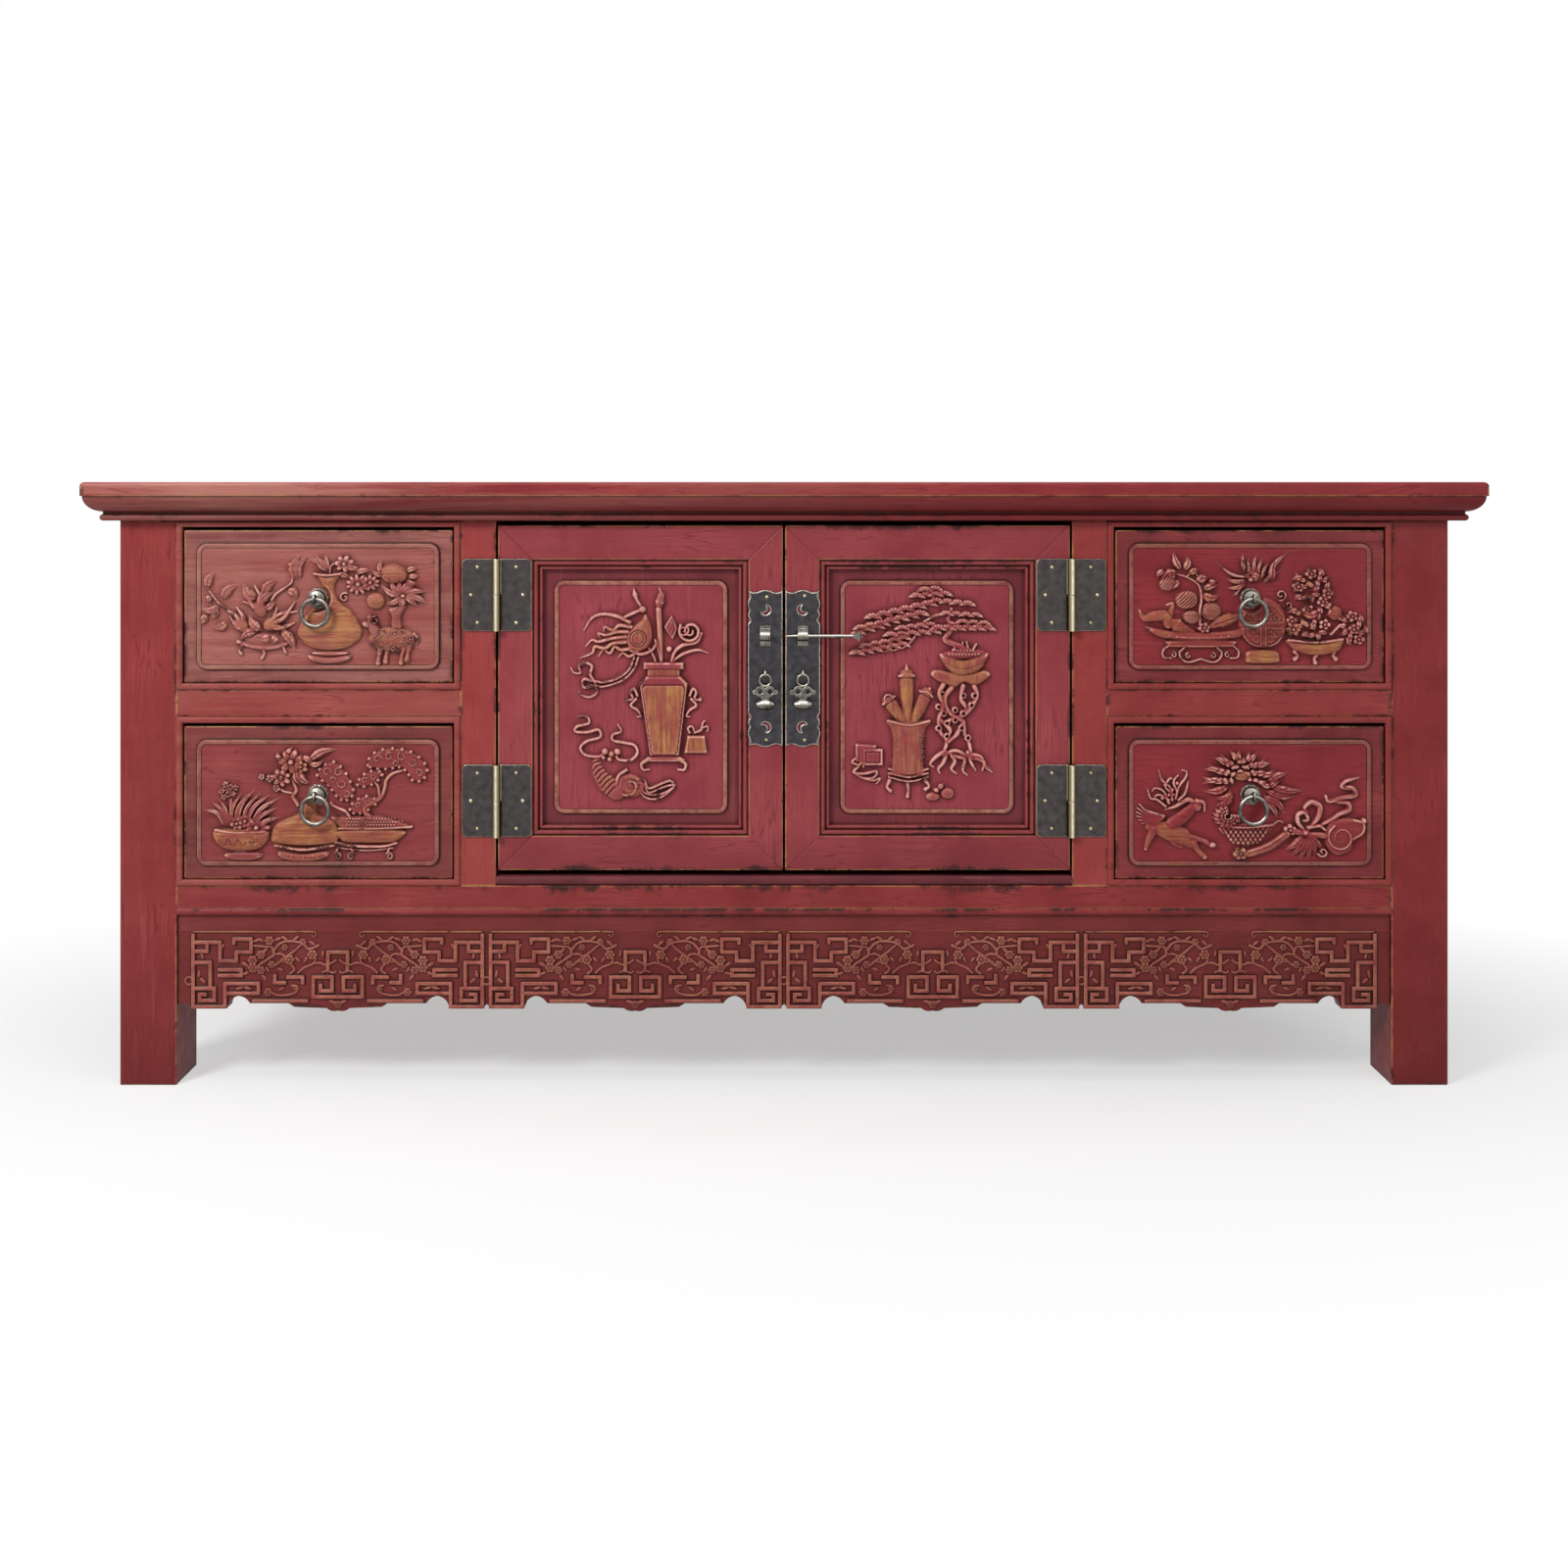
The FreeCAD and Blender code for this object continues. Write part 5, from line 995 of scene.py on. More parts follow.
def carve_lower_right(c):
    """A running lion-dog with flames, a chrysanthemum basket, and a tied sceptre."""
    c.stroke([(-122, -28), (-112, -30), (-96, -36), (-82, -42), (-70, -50)], [7, 10, 12, 11, 6], 4.6, 0.7)
    c.stroke([(-96, -26), (-80, -14), (-66, 0)], [9, 8, 6], 5)
    c.stroke([(-66, 0), (-78, 4), (-92, -4), (-104, -8)], [3, 3.6, 2.6, 1.2], 4.4)
    c.stroke([(-66, 2), (-58, 0), (-56, -10)], [4, 3, 1.4], 4.6)
    c.dome((-66, -4), (7, 6), 5.2, 30)
    c.stroke([(-70, -48), (-64, -58), (-56, -66)], [5.5, 3.4, 3.4], 4, 0.4)
    c.stroke([(-74, -42), (-58, -46), (-48, -52)], [5, 3.4, 3.6], 4)
    c.dome((-47, -51), (5, 3.6), 4.4)
    c.stroke([(-118, -32), (-124, -44), (-128, -56)], [6.5, 4.5, 2.8], 4)
    c.stroke([(-96, -44), (-92, -50), (-84, -54)], [5, 3, 2], 3.4)
    for k in range(7):
        angle = math.radians(150 + 14 * k)
        tip = around((-112, -12), (27, 20), angle)
        middle = around((-112, -12), (15, 13), angle + 0.35)
        c.stroke([(-106, -16), middle, tip], [2.2, 2.6, 1.2], 3.8)
    for flame in ([(-104, -4), (-114, 4), (-122, 6), (-126, 18)],
                  [(-100, 0), (-106, 14), (-116, 18), (-120, 14)],
                  [(-96, 4), (-98, 18), (-108, 28), (-112, 40)],
                  [(-92, 6), (-88, 20), (-80, 30), (-78, 38), (-84, 40)],
                  [(-94, 10), (-104, 20), (-98, 30), (-92, 26)], [(-88, 4), (-80, 12), (-76, 26)],
                  [(-100, 4), (-112, 10), (-120, 4)], [(-90, 14), (-94, 26), (-88, 34)]):
        c.stroke(flame, [2.2, 2, 1.6, 0.9], 3.4)
    for spot in ((-104, 22), (-96, 16), (-90, 24), (-100, 10), (-108, 6)):
        c.dome(spot, (2.6, 2.6), 3.8)

    for ring, (count, radius) in enumerate(((15, 46), (13, 36), (11, 26), (9, 16))):
        for k in range(count):
            angle = math.radians(-12 + 204 * k / (count - 1) + 5 * ring)
            tip = around((-13, 30), (radius, radius * 0.74), angle)
            base = around((-13, 30), (radius * 0.52, radius * 0.45), angle)
            c.leaf(base, tip, 3.3, 0.16 if k % 2 else -0.16, 3.4 + 0.35 * ring, 0.1)
    c.dome((-10, 34), (12, 7), 4.8, 5, 0.9)
    seeded(c, (-10, 34), (11, 6), 3, 0.9, 0.7)
    c.spray([((-26, 22), (-57, 14), 5, 0.1), ((-24, 16), (-42, -6), 5.5, 0.15),
             ((-20, 12), (-44, 6), 4.4, 0.1), ((22, 22), (65, 15), 5, -0.08),
             ((20, 24), (46, 36), 4.6, 0.12), ((18, 16), (56, 8), 4.6, -0.1), ((14, 8), (44, -14), 5, 0.12),
             ((22, 18), (38, 28), 4, 0.1), ((16, 4), (34, -20), 3.6, 0.1), ((28, 12), (44, 18), 3.4, 0.1)],
            3.2)
    for ring, (count, radius) in enumerate(((12, 20), (9, 13), (6, 7))):
        for k in range(count):
            angle = math.radians(95 + 250 * k / (count - 1))
            tip = around((-28, -16), (radius, radius * 0.8), angle)
            base = around((-28, -16), (radius * 0.35, radius * 0.3), angle)
            c.leaf(base, tip, 2.6, 0.15, 3.4 + 0.4 * ring)
    c.plate([(-36, -27), (24, -27), (17, -42), (6, -51), (-18, -51), (-30, -42)], 2.2, 3)
    for k in range(9):
        u = -30 + 6 * k
        for lean in (8, -8):
            c.cut([(u - lean, -52), (u + lean, -28)], 0.8, 1.5, True)
    c.stroke([(-36, -28), (-6, -30), (26, -27)], [1.6, 1.6], 3.2)
    c.stroke([(26, -28), (34, -22), (40, -24)], [1.2, 1], 2.4)

    for wave in ([(134, 31), (118, 27), (112, 20), (124, 18), (128, 10), (112, 6), (96, 2), (92, 8)],
                 [(92, 6), (104, 2), (118, 0), (120, -8), (108, -14), (100, -20), (88, -26), (82, -30)]):
        c.stroke(wave, [1.2, 3, 3.6, 3.2, 3, 2.2], 3.6)
    c.cut([(118, 25), (113, 20), (122, 17), (126, 10), (112, 7), (98, 3)], 0.6, 0.7)
    c.stroke([(66, -34), (58, -24), (58, -14), (66, -12), (70, -20), (64, -22)], [2.4, 3.4, 3, 2], 4.2)
    c.stroke([(70, -34), (82, -18), (84, -4), (74, 1), (66, -6), (70, -12)], [2.4, 3.2, 4, 3.4, 2], 4.2)
    c.stroke([(70, -30), (84, -28), (92, -34)], [2.6, 2.6, 2], 3.6)
    for k in range(6):
        tip = around((66, -38), (30, 31), math.radians(-140 + 20 * k))
        c.leaf((66, -38), tip, 5, 0.06, 3.6)
    c.scroll((88, -60), 6, 1.2, 200, 1.6, 3.6)
    c.stroke([(-18, -63), (0, -61), (24, -52), (44, -38)], [4, 5, 5.5, 5], 4.6, 0.4)
    c.cut([(-6, -62), (20, -53), (40, -40)], 0.8, 1)
    c.bloom((-12, -62), 9, 6, 5, 0, 0.8, 0.9)
    c.bloom((48, -33), 8, 5, 5, 20, 0.85, 0.3)
    c.stroke([(52, -34), (70, -38), (92, -40)], [4.5, 4, 4.5], 4.4)
    c.dome((66, -36), (5, 4), 5.4)
    c.plate([(90, -42), (96, -24), (112, -18), (130, -20), (141, -30), (134, -42), (126, -46), (122, -58),
             (106, -64), (94, -56)], 3.2, 5, 0.1)
    c.scroll((110, -42), 17, 1.7, 120, 2, 4.6)
    c.stroke([(124, -44), (136, -36), (137, -25), (126, -21)], [2, 2.2, 2], 4.4, 0.3)
    c.dome((138, -22), (4, 4), 4.6)


DRAWER_CARVINGS = {("upper", "left"): (carve_upper_left, "carving_left"),
                   ("lower", "left"): (carve_lower_left, "carving_low_left"),
                   ("upper", "right"): (carve_upper_right, "carving_right"),
                   ("lower", "right"): (carve_lower_right, "carving_right")}
DRAWER_FIELD = (285.4, 143.4)   # inside the raised line
DRAWER_STEP = 0.85      # of the carving's grid
DRAWER_DEPTH = 1.4      # how much deeper the scenes are cut than drawn
PULL_RISE = 10          # of the pull over the front's middle
PULL_CLEAR = 15         # radius of the flat place for the pull
PULL_BLEND = 3          # the width over which the carving comes up round it


def clear_rosette(carving):
    """Flatten the carving under a pull."""
    across, up = np.meshgrid(carving.u, carving.v)
    away = np.hypot(across, up - PULL_RISE)
    carving.height *= np.clip((away - PULL_CLEAR) / PULL_BLEND, 0, 1)


def carve_drawers():
    """The scenes on the drawer fronts."""
    for (row, side), (carve, key) in DRAWER_CARVINGS.items():
        body = f"drawer_{row}_{side}"
        carving = Carving(*DRAWER_FIELD, DRAWER_STEP)
        carve(carving)
        carving.height *= DRAWER_DEPTH
        clear_rosette(carving)
        low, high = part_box(f"{body}_front")
        centre = ((low[0] + high[0]) / 2, (low[2] + high[2]) / 2)
        face = low[1] + LINE_PROUD * MM
        carved_piece(f"{body}_carving", carving, centre, face, body, key)


def carve_left_door(c):
    """A tapered vase with a brush, a banner and a sceptre, and a ribboned horn below."""
    c.stroke([(-9, 130), (-7, 122), (-4, 114), (0, 108)], [0.8, 3.6, 2.4, 2], 4.4, 0.2)
    c.dome((2, 104), (5, 4.5), 4.6)
    c.stroke([(23, 130), (25, 122), (23, 112), (22, 104)], [0.8, 4.5, 6, 3], 5, 0.3)
    c.stroke([(22, 104), (23, 84), (25, 40)], [4, 3.6, 2.6], 4.6, 0.5)
    c.stroke([(18, 66), (22, 52), (25, 40)], [1.8, 1.8], 3)
    c.stroke([(10, 56), (16, 46), (18, 40)], [1.6, 1.8], 3)
    c.plate([(38, 97), (46, 80), (39, 66), (28, 82)], 3.4, 3, straight=True)
    c.cut([(38, 92), (42, 80), (38, 71), (32, 82), (38, 92)], 1, 1.2, True)
    c.scroll((61, 77), 14, 1.6, 150, 2.3, 4.8)
    c.scroll((52, 78), 7, -1.3, 30, 1.8, 4.4)
    c.stroke([(74, 74), (68, 64), (52, 60), (42, 52), (38, 40)], [2.6, 3, 3, 2.6, 2.4], 4.2)
    c.stroke([(83, 50), (70, 54), (54, 50), (44, 44), (40, 40)], [1, 2.2, 2.4, 2.2], 3.4)
    c.dome((35, 55), (4, 4), 3.8)

    c.plate([(6, 98), (13, 84), (14, 68), (8, 56), (-4, 51), (-15, 57), (-18, 68), (-12, 80), (0, 90)],
            4.4, 7, 0.9)
    c.stroke([(-14, 54), (0, 49), (14, 54), (20, 64)], [2, 2.6, 2.2, 1.4], 4.6)
    medal = (-3, 68)
    for radius, depth in ((10, 1.6), (7, 1.2)):
        c.cut([around(medal, (radius, radius), a) for a in np.linspace(0, 2 * math.pi, 20)], 1, depth)
    for turn in (45, 135, 225, 315):
        c.dome(around(medal, (3, 3), math.radians(turn)), (2.6, 2), 5, turn, 0.3)
    c.stroke([(2, 104), (-12, 98), (-22, 92), (-16, 88)], [2, 2.4, 2.2, 1.6], 4)
    for flame, half in (([(-14, 88), (-28, 95), (-46, 98), (-60, 93), (-70, 78)], 3),
                        ([(-12, 82), (-26, 84), (-34, 78), (-44, 82), (-46, 76)], 3.2),
                        ([(-16, 76), (-30, 76), (-42, 72), (-52, 74), (-50, 68)], 3.2),
                        ([(-18, 70), (-36, 68), (-52, 64), (-60, 66), (-68, 58)], 3.2),
                        ([(-18, 64), (-34, 62), (-44, 56), (-56, 58), (-60, 50), (-74, 44)], 3.2),
                        ([(-12, 56), (-24, 54), (-32, 58), (-38, 50), (-46, 54), (-52, 46)], 2.8),
                        ([(-4, 52), (-14, 46), (-22, 50), (-28, 44)], 2.6)):
        c.stroke(flame, [half, half * 0.9, half * 0.7, 1], 4, 0.45)
    for shift in (0, 5):
        c.stroke([(-8 + shift, 45), (-14 + shift, 30), (-28 + shift, 19 - shift / 2), (-46, 14 - shift),
                  (-56, 16 - shift)], [1.6, 1.7, 1.6], 3.4)
    c.stroke([(-56, 14), (-62, 24), (-60, 34), (-68, 38), (-76, 34), (-74, 26), (-82, 26), (-86, 32)],
             [2.2, 2.2, 1.8, 1.2], 3.6)
    c.stroke([(-60, 16), (-70, 18), (-70, 8), (-58, 10), (-54, 2), (-62, -4), (-72, -2), (-76, 2)],
             [2.2, 2.2, 1.8, 1.2], 3.6)

    c.plate([(3, 39), (53, 39), (53, 30), (3, 30)], 4.6, 2.5, straight=True)
    c.plate([(8, 31), (48, 31), (48, 21), (8, 21)], 3.6, 2, 0.6, straight=True)
    c.plate([(7, 22), (49, 22), (58, 13), (57, 8), (47, -76), (11, -76), (-1, 8), (-2, 13)],
            5.2, 2.4, straight=True)
    panel = [(5, 11), (51, 11), (54, 7), (45, -71), (42, -74), (16, -74), (13, -71), (2, 7)]
    c.plate(panel, 0.9, 1.5, 1.0, True, True)
    c.cut(panel + panel[:1], 1, 1.3, True)
    c.plate([(14, -76), (44, -76), (52, -79), (52, -83), (6, -83), (6, -79)], 4.2, 2.5)
    vase = 28
    for way in (-1, 1):
        c.stroke(mirrored([(20, -81), (27, -86), (25, -93), (18, -93)], vase, way), [2.6, 2.4, 2, 1.6], 4)
        for handle in ([(32, -2), (36, 6), (40, 2), (38, -6), (46, -8)],
                       [(34, -6), (40, -14), (32, -20), (28, -27), (32, -28)]):
            c.stroke(mirrored(handle, vase, way), [2, 2, 1.8, 1.4], 3.6)
        c.dome((vase + 45 * way, -7), (2.6, 2.6), 3.8)
    c.plate([(57, -51), (79, -51), (82, -73), (53, -73)], 3.6, 3, 1.0, straight=True)
    c.stroke([(60, -48), (58, -42), (63, -40), (66, -46)], [1.6, 1.6, 1.2], 3)
    c.stroke([(66, -48), (74, -44), (76, -36), (79, -33)], [1.4, 2, 1.2], 3)
    c.stroke([(74, -42), (82, -40), (82, -46)], [1.4, 1.2], 2.8)

    c.stroke([(-78, -28), (-66, -28), (-64, -36), (-78, -40), (-80, -46), (-66, -47), (-52, -44), (-50, -53),
              (-66, -58), (-74, -66), (-68, -75), (-52, -77), (-46, -74)], [1.4, 2.2, 2.2, 2.2, 2], 3.6)
    c.stroke([(-28, -38), (-24, -46), (-34, -50), (-34, -57), (-20, -60), (-8, -63), (-4, -72), (-12, -81),
              (-26, -81), (-30, -77)], [1.4, 2.2, 2.2, 2.2, 2], 3.6)
    for spot, radius in (((-44, -71), 4.4), ((-36, -74), 4), ((-29, -71), 4.6), ((-38, -80), 3.4),
                         ((-46, -78), 3)):
        c.dome(spot, (radius, radius), 4.2)
    c.stroke([(-54, -84), (-52, -96), (-44, -108), (-30, -118)], [6, 9, 11.5, 13], 5.2, 0.35)
    for k in range(8):
        share = k / 7
        spot = np.array([-56 + 25 * share, -86 - 30 * share])
        reach = 7 + 6.5 * share
        slope = np.array([0.85, 0.52 + 0.2 * share])
        bent = spot + np.array([-1.5, 1.5])
        c.cut([spot - slope * reach, bent, spot + slope * reach], 0.9, 2)
    c.dome((-14, -112), (20, 14), 4.6, -18, 0.3)
    c.dome((-11, -111), (12, 8), -2.4, -18, over=True)
    c.scroll((-14, -112), 19, 1, 100, 2.2, 5)
    c.scroll((-10, -112), 8, 1.2, 200, 1.4, 4)
    for shift in (0, 5):
        c.stroke([(-8, -104 - shift), (4, -106 - shift), (10, -116 - shift), (26, -110 - shift),
                  (36, -107 - shift), (41, -113), (30, -121 - shift / 2), (18, -124 - shift),
                  (6, -122 - shift), (-2, -114 - shift)], [1.6, 1.8, 1.8, 1.6], 3.6)


def pine_row(c, start, end, count, size, top):
    """Overlapping pine fans from one end of a bough to the other."""
    for k in range(count):
        share = k / max(count - 1, 1)
        u = start[0] + (end[0] - start[0]) * share
        v = start[1] + (end[1] - start[1]) * share
        lean = math.degrees(math.atan2(end[1] - start[1], end[0] - start[0])) * 0.5
        fan = [(u - size, v - 2), (u - size * 0.6, v + size * 0.36), (u, v + size * 0.5),
               (u + size * 0.6, v + size * 0.3), (u + size, v - 3), (u, v - size * 0.16)]
        c.plate(fan, top - 0.5 * (k % 2), 2.6, 0.1)
        for tip in (-0.6, -0.2, 0.2, 0.6):
            end_up = v + size * (0.45 - tip * tip * 0.5) + lean * 0.02
            c.cut([(u, v - 2), (u + size * tip, end_up)], 0.7, 0.9, True)


def carve_right_door(c):
    """A pine in a bowl on a root stand, scrolls in a brush pot, books, a ribbon and fruit."""
    c.stroke([(30, 104), (26, 92), (30, 80), (22, 68), (30, 62), (42, 58), (48, 52)],
             [2.4, 3, 3.4, 4, 4, 4.5], 4.2)
    c.stroke([(28, 100), (10, 96), (-4, 88), (-10, 80)], [2.4, 2.2, 1.6], 3.6)
    c.stroke([(28, 88), (48, 82), (66, 80)], [2.4, 2, 1.4], 3.6)
    c.stroke([(-4, 88), (-22, 62), (-40, 54), (-60, 52)], [1.6, 1.8, 1.6, 1], 3)
    for bough in (((-2, 127), (10, 128), 2, 11, 4), ((-12, 120), (22, 122), 4, 11, 4.4),
                  ((12, 114), (50, 110), 4, 11, 4.4), ((-66, 94), (2, 110), 6, 12, 4),
                  ((-80, 80), (-8, 98), 7, 12, 4.6), ((-84, 75), (-60, 82), 3, 10, 4),
                  ((-30, 80), (4, 84), 4, 11, 4), ((-44, 72), (8, 76), 5, 11, 4.6),
                  ((-74, 58), (-28, 68), 5, 11, 4.2), ((-86, 50), (-30, 60), 6, 11, 4.6),
                  ((24, 98), (60, 96), 4, 10, 4.2), ((14, 80), (74, 80), 6, 12, 4.6),
                  ((44, 88), (70, 86), 3, 10, 4.2)):
        pine_row(c, *bough)
    for k in range(9):
        u = 32 + 3 * k
        c.stroke([(u, 54), around((u, 60), (5, 4), GOLDEN_ANGLE * k)], [2, 1.4], 4.4)

    c.dome((45, 49), (28, 6.5), 4.6, 3)
    seeded(c, (45, 50), (24, 5), 4, 1.6, 1.2)
    c.plate([(16, 50), (45, 42), (74, 51), (71, 38), (62, 27), (46, 22), (34, 23), (22, 34)], 5, 8, 0.6)
    c.cut([(19, 38), (46, 31), (70, 39)], 0.8, 0.8)
    c.plate([(4, 24), (12, 30), (45, 24), (70, 29), (78, 24), (70, 16), (58, 10), (46, 14), (34, 8),
             (22, 12), (12, 16)], 4.2, 5, 0.75)
    knots = [(18, 0), (14, -16), (20, -24), (14, -42), (24, -52), (44, -2), (58, -2), (54, -14), (44, -24),
             (34, -32), (42, -42), (50, -54), (34, -20), (24, -36)]
    strands = [[(20, 12), (15, 0), (20, -14), (15, -30), (16, -46), (24, -58), (20, -74)],
               [(30, 8), (22, -4), (24, -18), (34, -28), (44, -34), (46, -48), (52, -62), (54, -78)],
               [(58, 10), (61, -2), (54, -16), (44, -26), (32, -30), (22, -36)],
               [(44, 10), (42, -6), (48, -18), (42, -28)], [(16, -32), (28, -44), (24, -56)],
               [(44, -36), (36, -50), (26, -58)]]
    for strand in strands:
        c.stroke(strand, [3.6, 3, 3.4, 2.6, 3.2], 4.4)
    for spot in knots:
        c.dome(spot, (4.8, 4.8), 4.8)
        c.dome((spot[0] + 0.6, spot[1]), (2.4, 2.4), -3.6, over=True)
    roots = [[(22, -70), (10, -78), (4, -86), (8, -90)], [(24, -72), (20, -84), (14, -92), (16, -98)],
             [(28, -72), (34, -82), (30, -92), (36, -98)], [(34, -76), (46, -80), (44, -94), (50, -100)],
             [(50, -72), (54, -84), (60, -94)], [(54, -74), (66, -78), (72, -90), (80, -96)],
             [(20, -74), (36, -70), (52, -78), (66, -82), (78, -92)], [(60, -78), (70, -84), (68, -94)]]
    for root in roots:
        c.stroke(root, [3.2, 3, 2.4, 1.4], 4.2)

    for base, head, wide, narrow in (((-24, -34), (-25, 22), 9, 5), ((-28, -36), (-47, -8), 8.5, 5),
                                     ((-18, -38), (-1, 0), 8, 5)):
        c.stroke([base, head], [narrow, wide * 0.9, wide], 5, 0.95)
        way = np.array(head, float) - base
        way /= np.hypot(*way)
        side = np.array([-way[1], way[0]])
        c.stroke([head - side * wide, head + way * 2.6, head + side * wide], [2, 2.4, 2], 5.6, 0.3)
        c.cut([head - side * wide - way * 3, head - way * 2, head + side * wide - way * 3], 0.9, 1.4)
    c.stroke([(-25, 26), (-25, 31), (-25, 36)], [3.4, 3.2, 1], 4.6)
    c.stroke([(0, 2), (3, 6)], [3.6, 2.6], 4.6)
    c.scroll((-48, -6), 6, 1.6, 0, 1.3, 5.8)
    c.plate([(-48, -33), (3, -33), (-1, -42), (-4, -58), (-4, -88), (0, -101), (-47, -101), (-43, -88),
             (-42, -58), (-45, -42)], 5, 13, 0.6)
    c.stroke([(-48, -33), (-22, -38), (3, -33)], [1.8, 2, 1.8], 5.8, 0.3)
    for level in (-90, -95, -100):
        c.stroke([(-47, level - 2), (-22, level - 7), (1, level - 2)], [1.4, 1.6, 1.4], 5.2, 0.1)
    for row in range(6):
        for k in range(5):
            sag = 2.2 * math.sin(math.pi * (k + 0.5) / 5)
            turns = 1.2 if (row + k) % 2 else -1.2
            c.scroll((-37 + 7.6 * k, -50 - 6.6 * row - sag), 2.4, turns, 90 * row, 0.7, 5.2, 0.35)
    for foot in ([(-46, -106), (-49, -114), (-45, -119)], [(-24, -110), (-23, -118), (-24, -126)],
                 [(-2, -106), (2, -113), (-2, -117)]):
        c.stroke(foot, [3, 2.2, 2.8], 4)

    c.plate([(-88, -61), (-62, -63), (-62, -84), (-88, -84)], 2.6, 2, straight=True)
    c.plate([(-79, -67), (-54, -67), (-54, -88), (-79, -88)], 3.8, 2, straight=True)
    c.cut([(-75, -71), (-58, -71), (-58, -84), (-75, -84), (-75, -71)], 0.9, 1.3, True)
    c.cut([(-84, -65), (-84, -82)], 0.8, 1, True)
    c.scroll((-67, -77.5), 5, 1.6, 0, 0.9, 4.4)
    c.stroke([(-86, -78), (-92, -84), (-84, -88), (-90, -96), (-78, -98), (-62, -95), (-66, -103),
              (-78, -103), (-88, -98)], [1.6, 2.2, 2, 1.8], 3.6)
    c.stroke([(-84, -88), (-80, -84), (-78, -90)], [2, 2, 1.6], 3.8)
    c.stroke([(-78, -104), (-66, -106), (-58, -104), (-62, -110)], [1.6, 2, 1.4], 3.4)
    c.dome((7, -126), (9, 5.5), 4, 0, 0.1)
    c.dome((25, -122), (8.5, 7), 4.4, 0, 0.1)
    c.leaf((14, -118), (22, -110), 3, 0.1, 3.4)
    c.leaf((16, -118), (6, -116), 2.6, 0.1, 3.4)


DOOR_CARVINGS = {"left": carve_left_door, "right": carve_right_door}
DOOR_FIELD = (201.8, 275.4)     # inside the raised line
DOOR_STEP = 0.9         # of the carving's grid
DOOR_DEPTH = 1.25       # how much deeper the scenes are cut than drawn
DOOR_MIDDLE = 4         # the scenes are drawn from the door's middle, this far over the field's


def carve_doors():
    """The scenes on the door panels."""
    for side, carve in DOOR_CARVINGS.items():
        carving = Carving(*DOOR_FIELD, DOOR_STEP)
        carving.v = carving.v - DOOR_MIDDLE
        carve(carving)
        carving.v = carving.v + DOOR_MIDDLE
        carving.height *= DOOR_DEPTH
        low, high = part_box(f"door_{side}_panel")
        centre = ((low[0] + high[0]) / 2, (low[2] + high[2]) / 2)
        face = low[1] + LINE_PROUD * MM
        carved_piece(f"door_{side}_carving", carving, centre, face, f"door_{side}", "carving_door")


# Nail heads and the apron's vine are grown with Geometry Nodes.
def new_tree(name, sizes):
    """A Geometry Nodes tree with a mesh, named sizes and a material as its inputs."""
    tree = bpy.data.node_groups.new(name, "GeometryNodeTree")
    tree.interface.new_socket("Geometry", in_out="INPUT", socket_type="NodeSocketGeometry")
    for label in sizes:
        tree.interface.new_socket(label, in_out="INPUT", socket_type="NodeSocketFloat")
    tree.interface.new_socket("Material", in_out="INPUT", socket_type="NodeSocketMaterial")
    tree.interface.new_socket("Geometry", in_out="OUTPUT", socket_type="NodeSocketGeometry")
    return tree, add(tree, "NodeGroupInput").node.outputs


def close_tree(tree, geometry, given):
    """Make the instances real, smooth them and give them the material."""
    real = add(tree, "GeometryNodeRealizeInstances", {"Geometry": geometry})
    soft = add(tree, "GeometryNodeSetShadeSmooth", {0: real})
    dressed = add(tree, "GeometryNodeSetMaterial", {"Geometry": soft, "Material": given["Material"]})
    add(tree, "NodeGroupOutput", {"Geometry": dressed})
    return tree


def grown(name, mesh, tree, values, body):
    """Run a tree on a mesh of points and lines, and keep the result as a plain piece of a body."""
    piece = bpy.data.objects.new(name, mesh)
    bpy.context.collection.objects.link(piece)
    modifier = piece.modifiers.new("grow", "NODES")
    modifier.node_group = tree
    keys = {item.name: item.identifier for item in tree.interface.items_tree if item.in_out == "INPUT"}
    for label, value in values.items():
        modifier[keys[label]] = value
    ready = piece.evaluated_get(bpy.context.evaluated_depsgraph_get())
    result = bpy.data.meshes.new_from_object(ready)
    piece.modifiers.remove(modifier)
    piece.data = result
    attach(piece, body)


def nail_tree():
    """Low domed heads, half sunk in the face that they hold, a little uneven in size."""
    tree, given = new_tree("nail_heads", ("Head radius", "Head rise"))
    ball = add(tree, "GeometryNodeMeshUVSphere", {"Segments": 16, "Rings": 8, "Radius": 1.0})
    size = add(tree, "ShaderNodeCombineXYZ",
               {"X": given["Head radius"], "Y": given["Head rise"], "Z": given["Head radius"]})
    uneven = add(tree, "FunctionNodeRandomValue", {2: 0.88, 3: 1.1, "Seed": 5}, 1, data_type="FLOAT")
    size = add(tree, "ShaderNodeVectorMath", {0: size, "Scale": uneven}, operation="SCALE")
    heads = add(tree, "GeometryNodeInstanceOnPoints",
                {"Points": given["Geometry"], "Instance": ball, "Scale": size})
    return close_tree(tree, heads, given)


NAIL_RADIUS = 2.2
NAIL_RISE = 1.3
HINGE_HEIGHT = 88       # of a hinge's leaves
LEAF_MIDDLE = 23.8      # from the pin to the middle of a leaf
LEAF_NAILS = ((0, 34), (8, 0), (0, -34))    # across and up from that middle
PLATE_NAILS = ((782.5, 609), (821, 608), (782, 755), (821, 755))    # pixels of the photograph


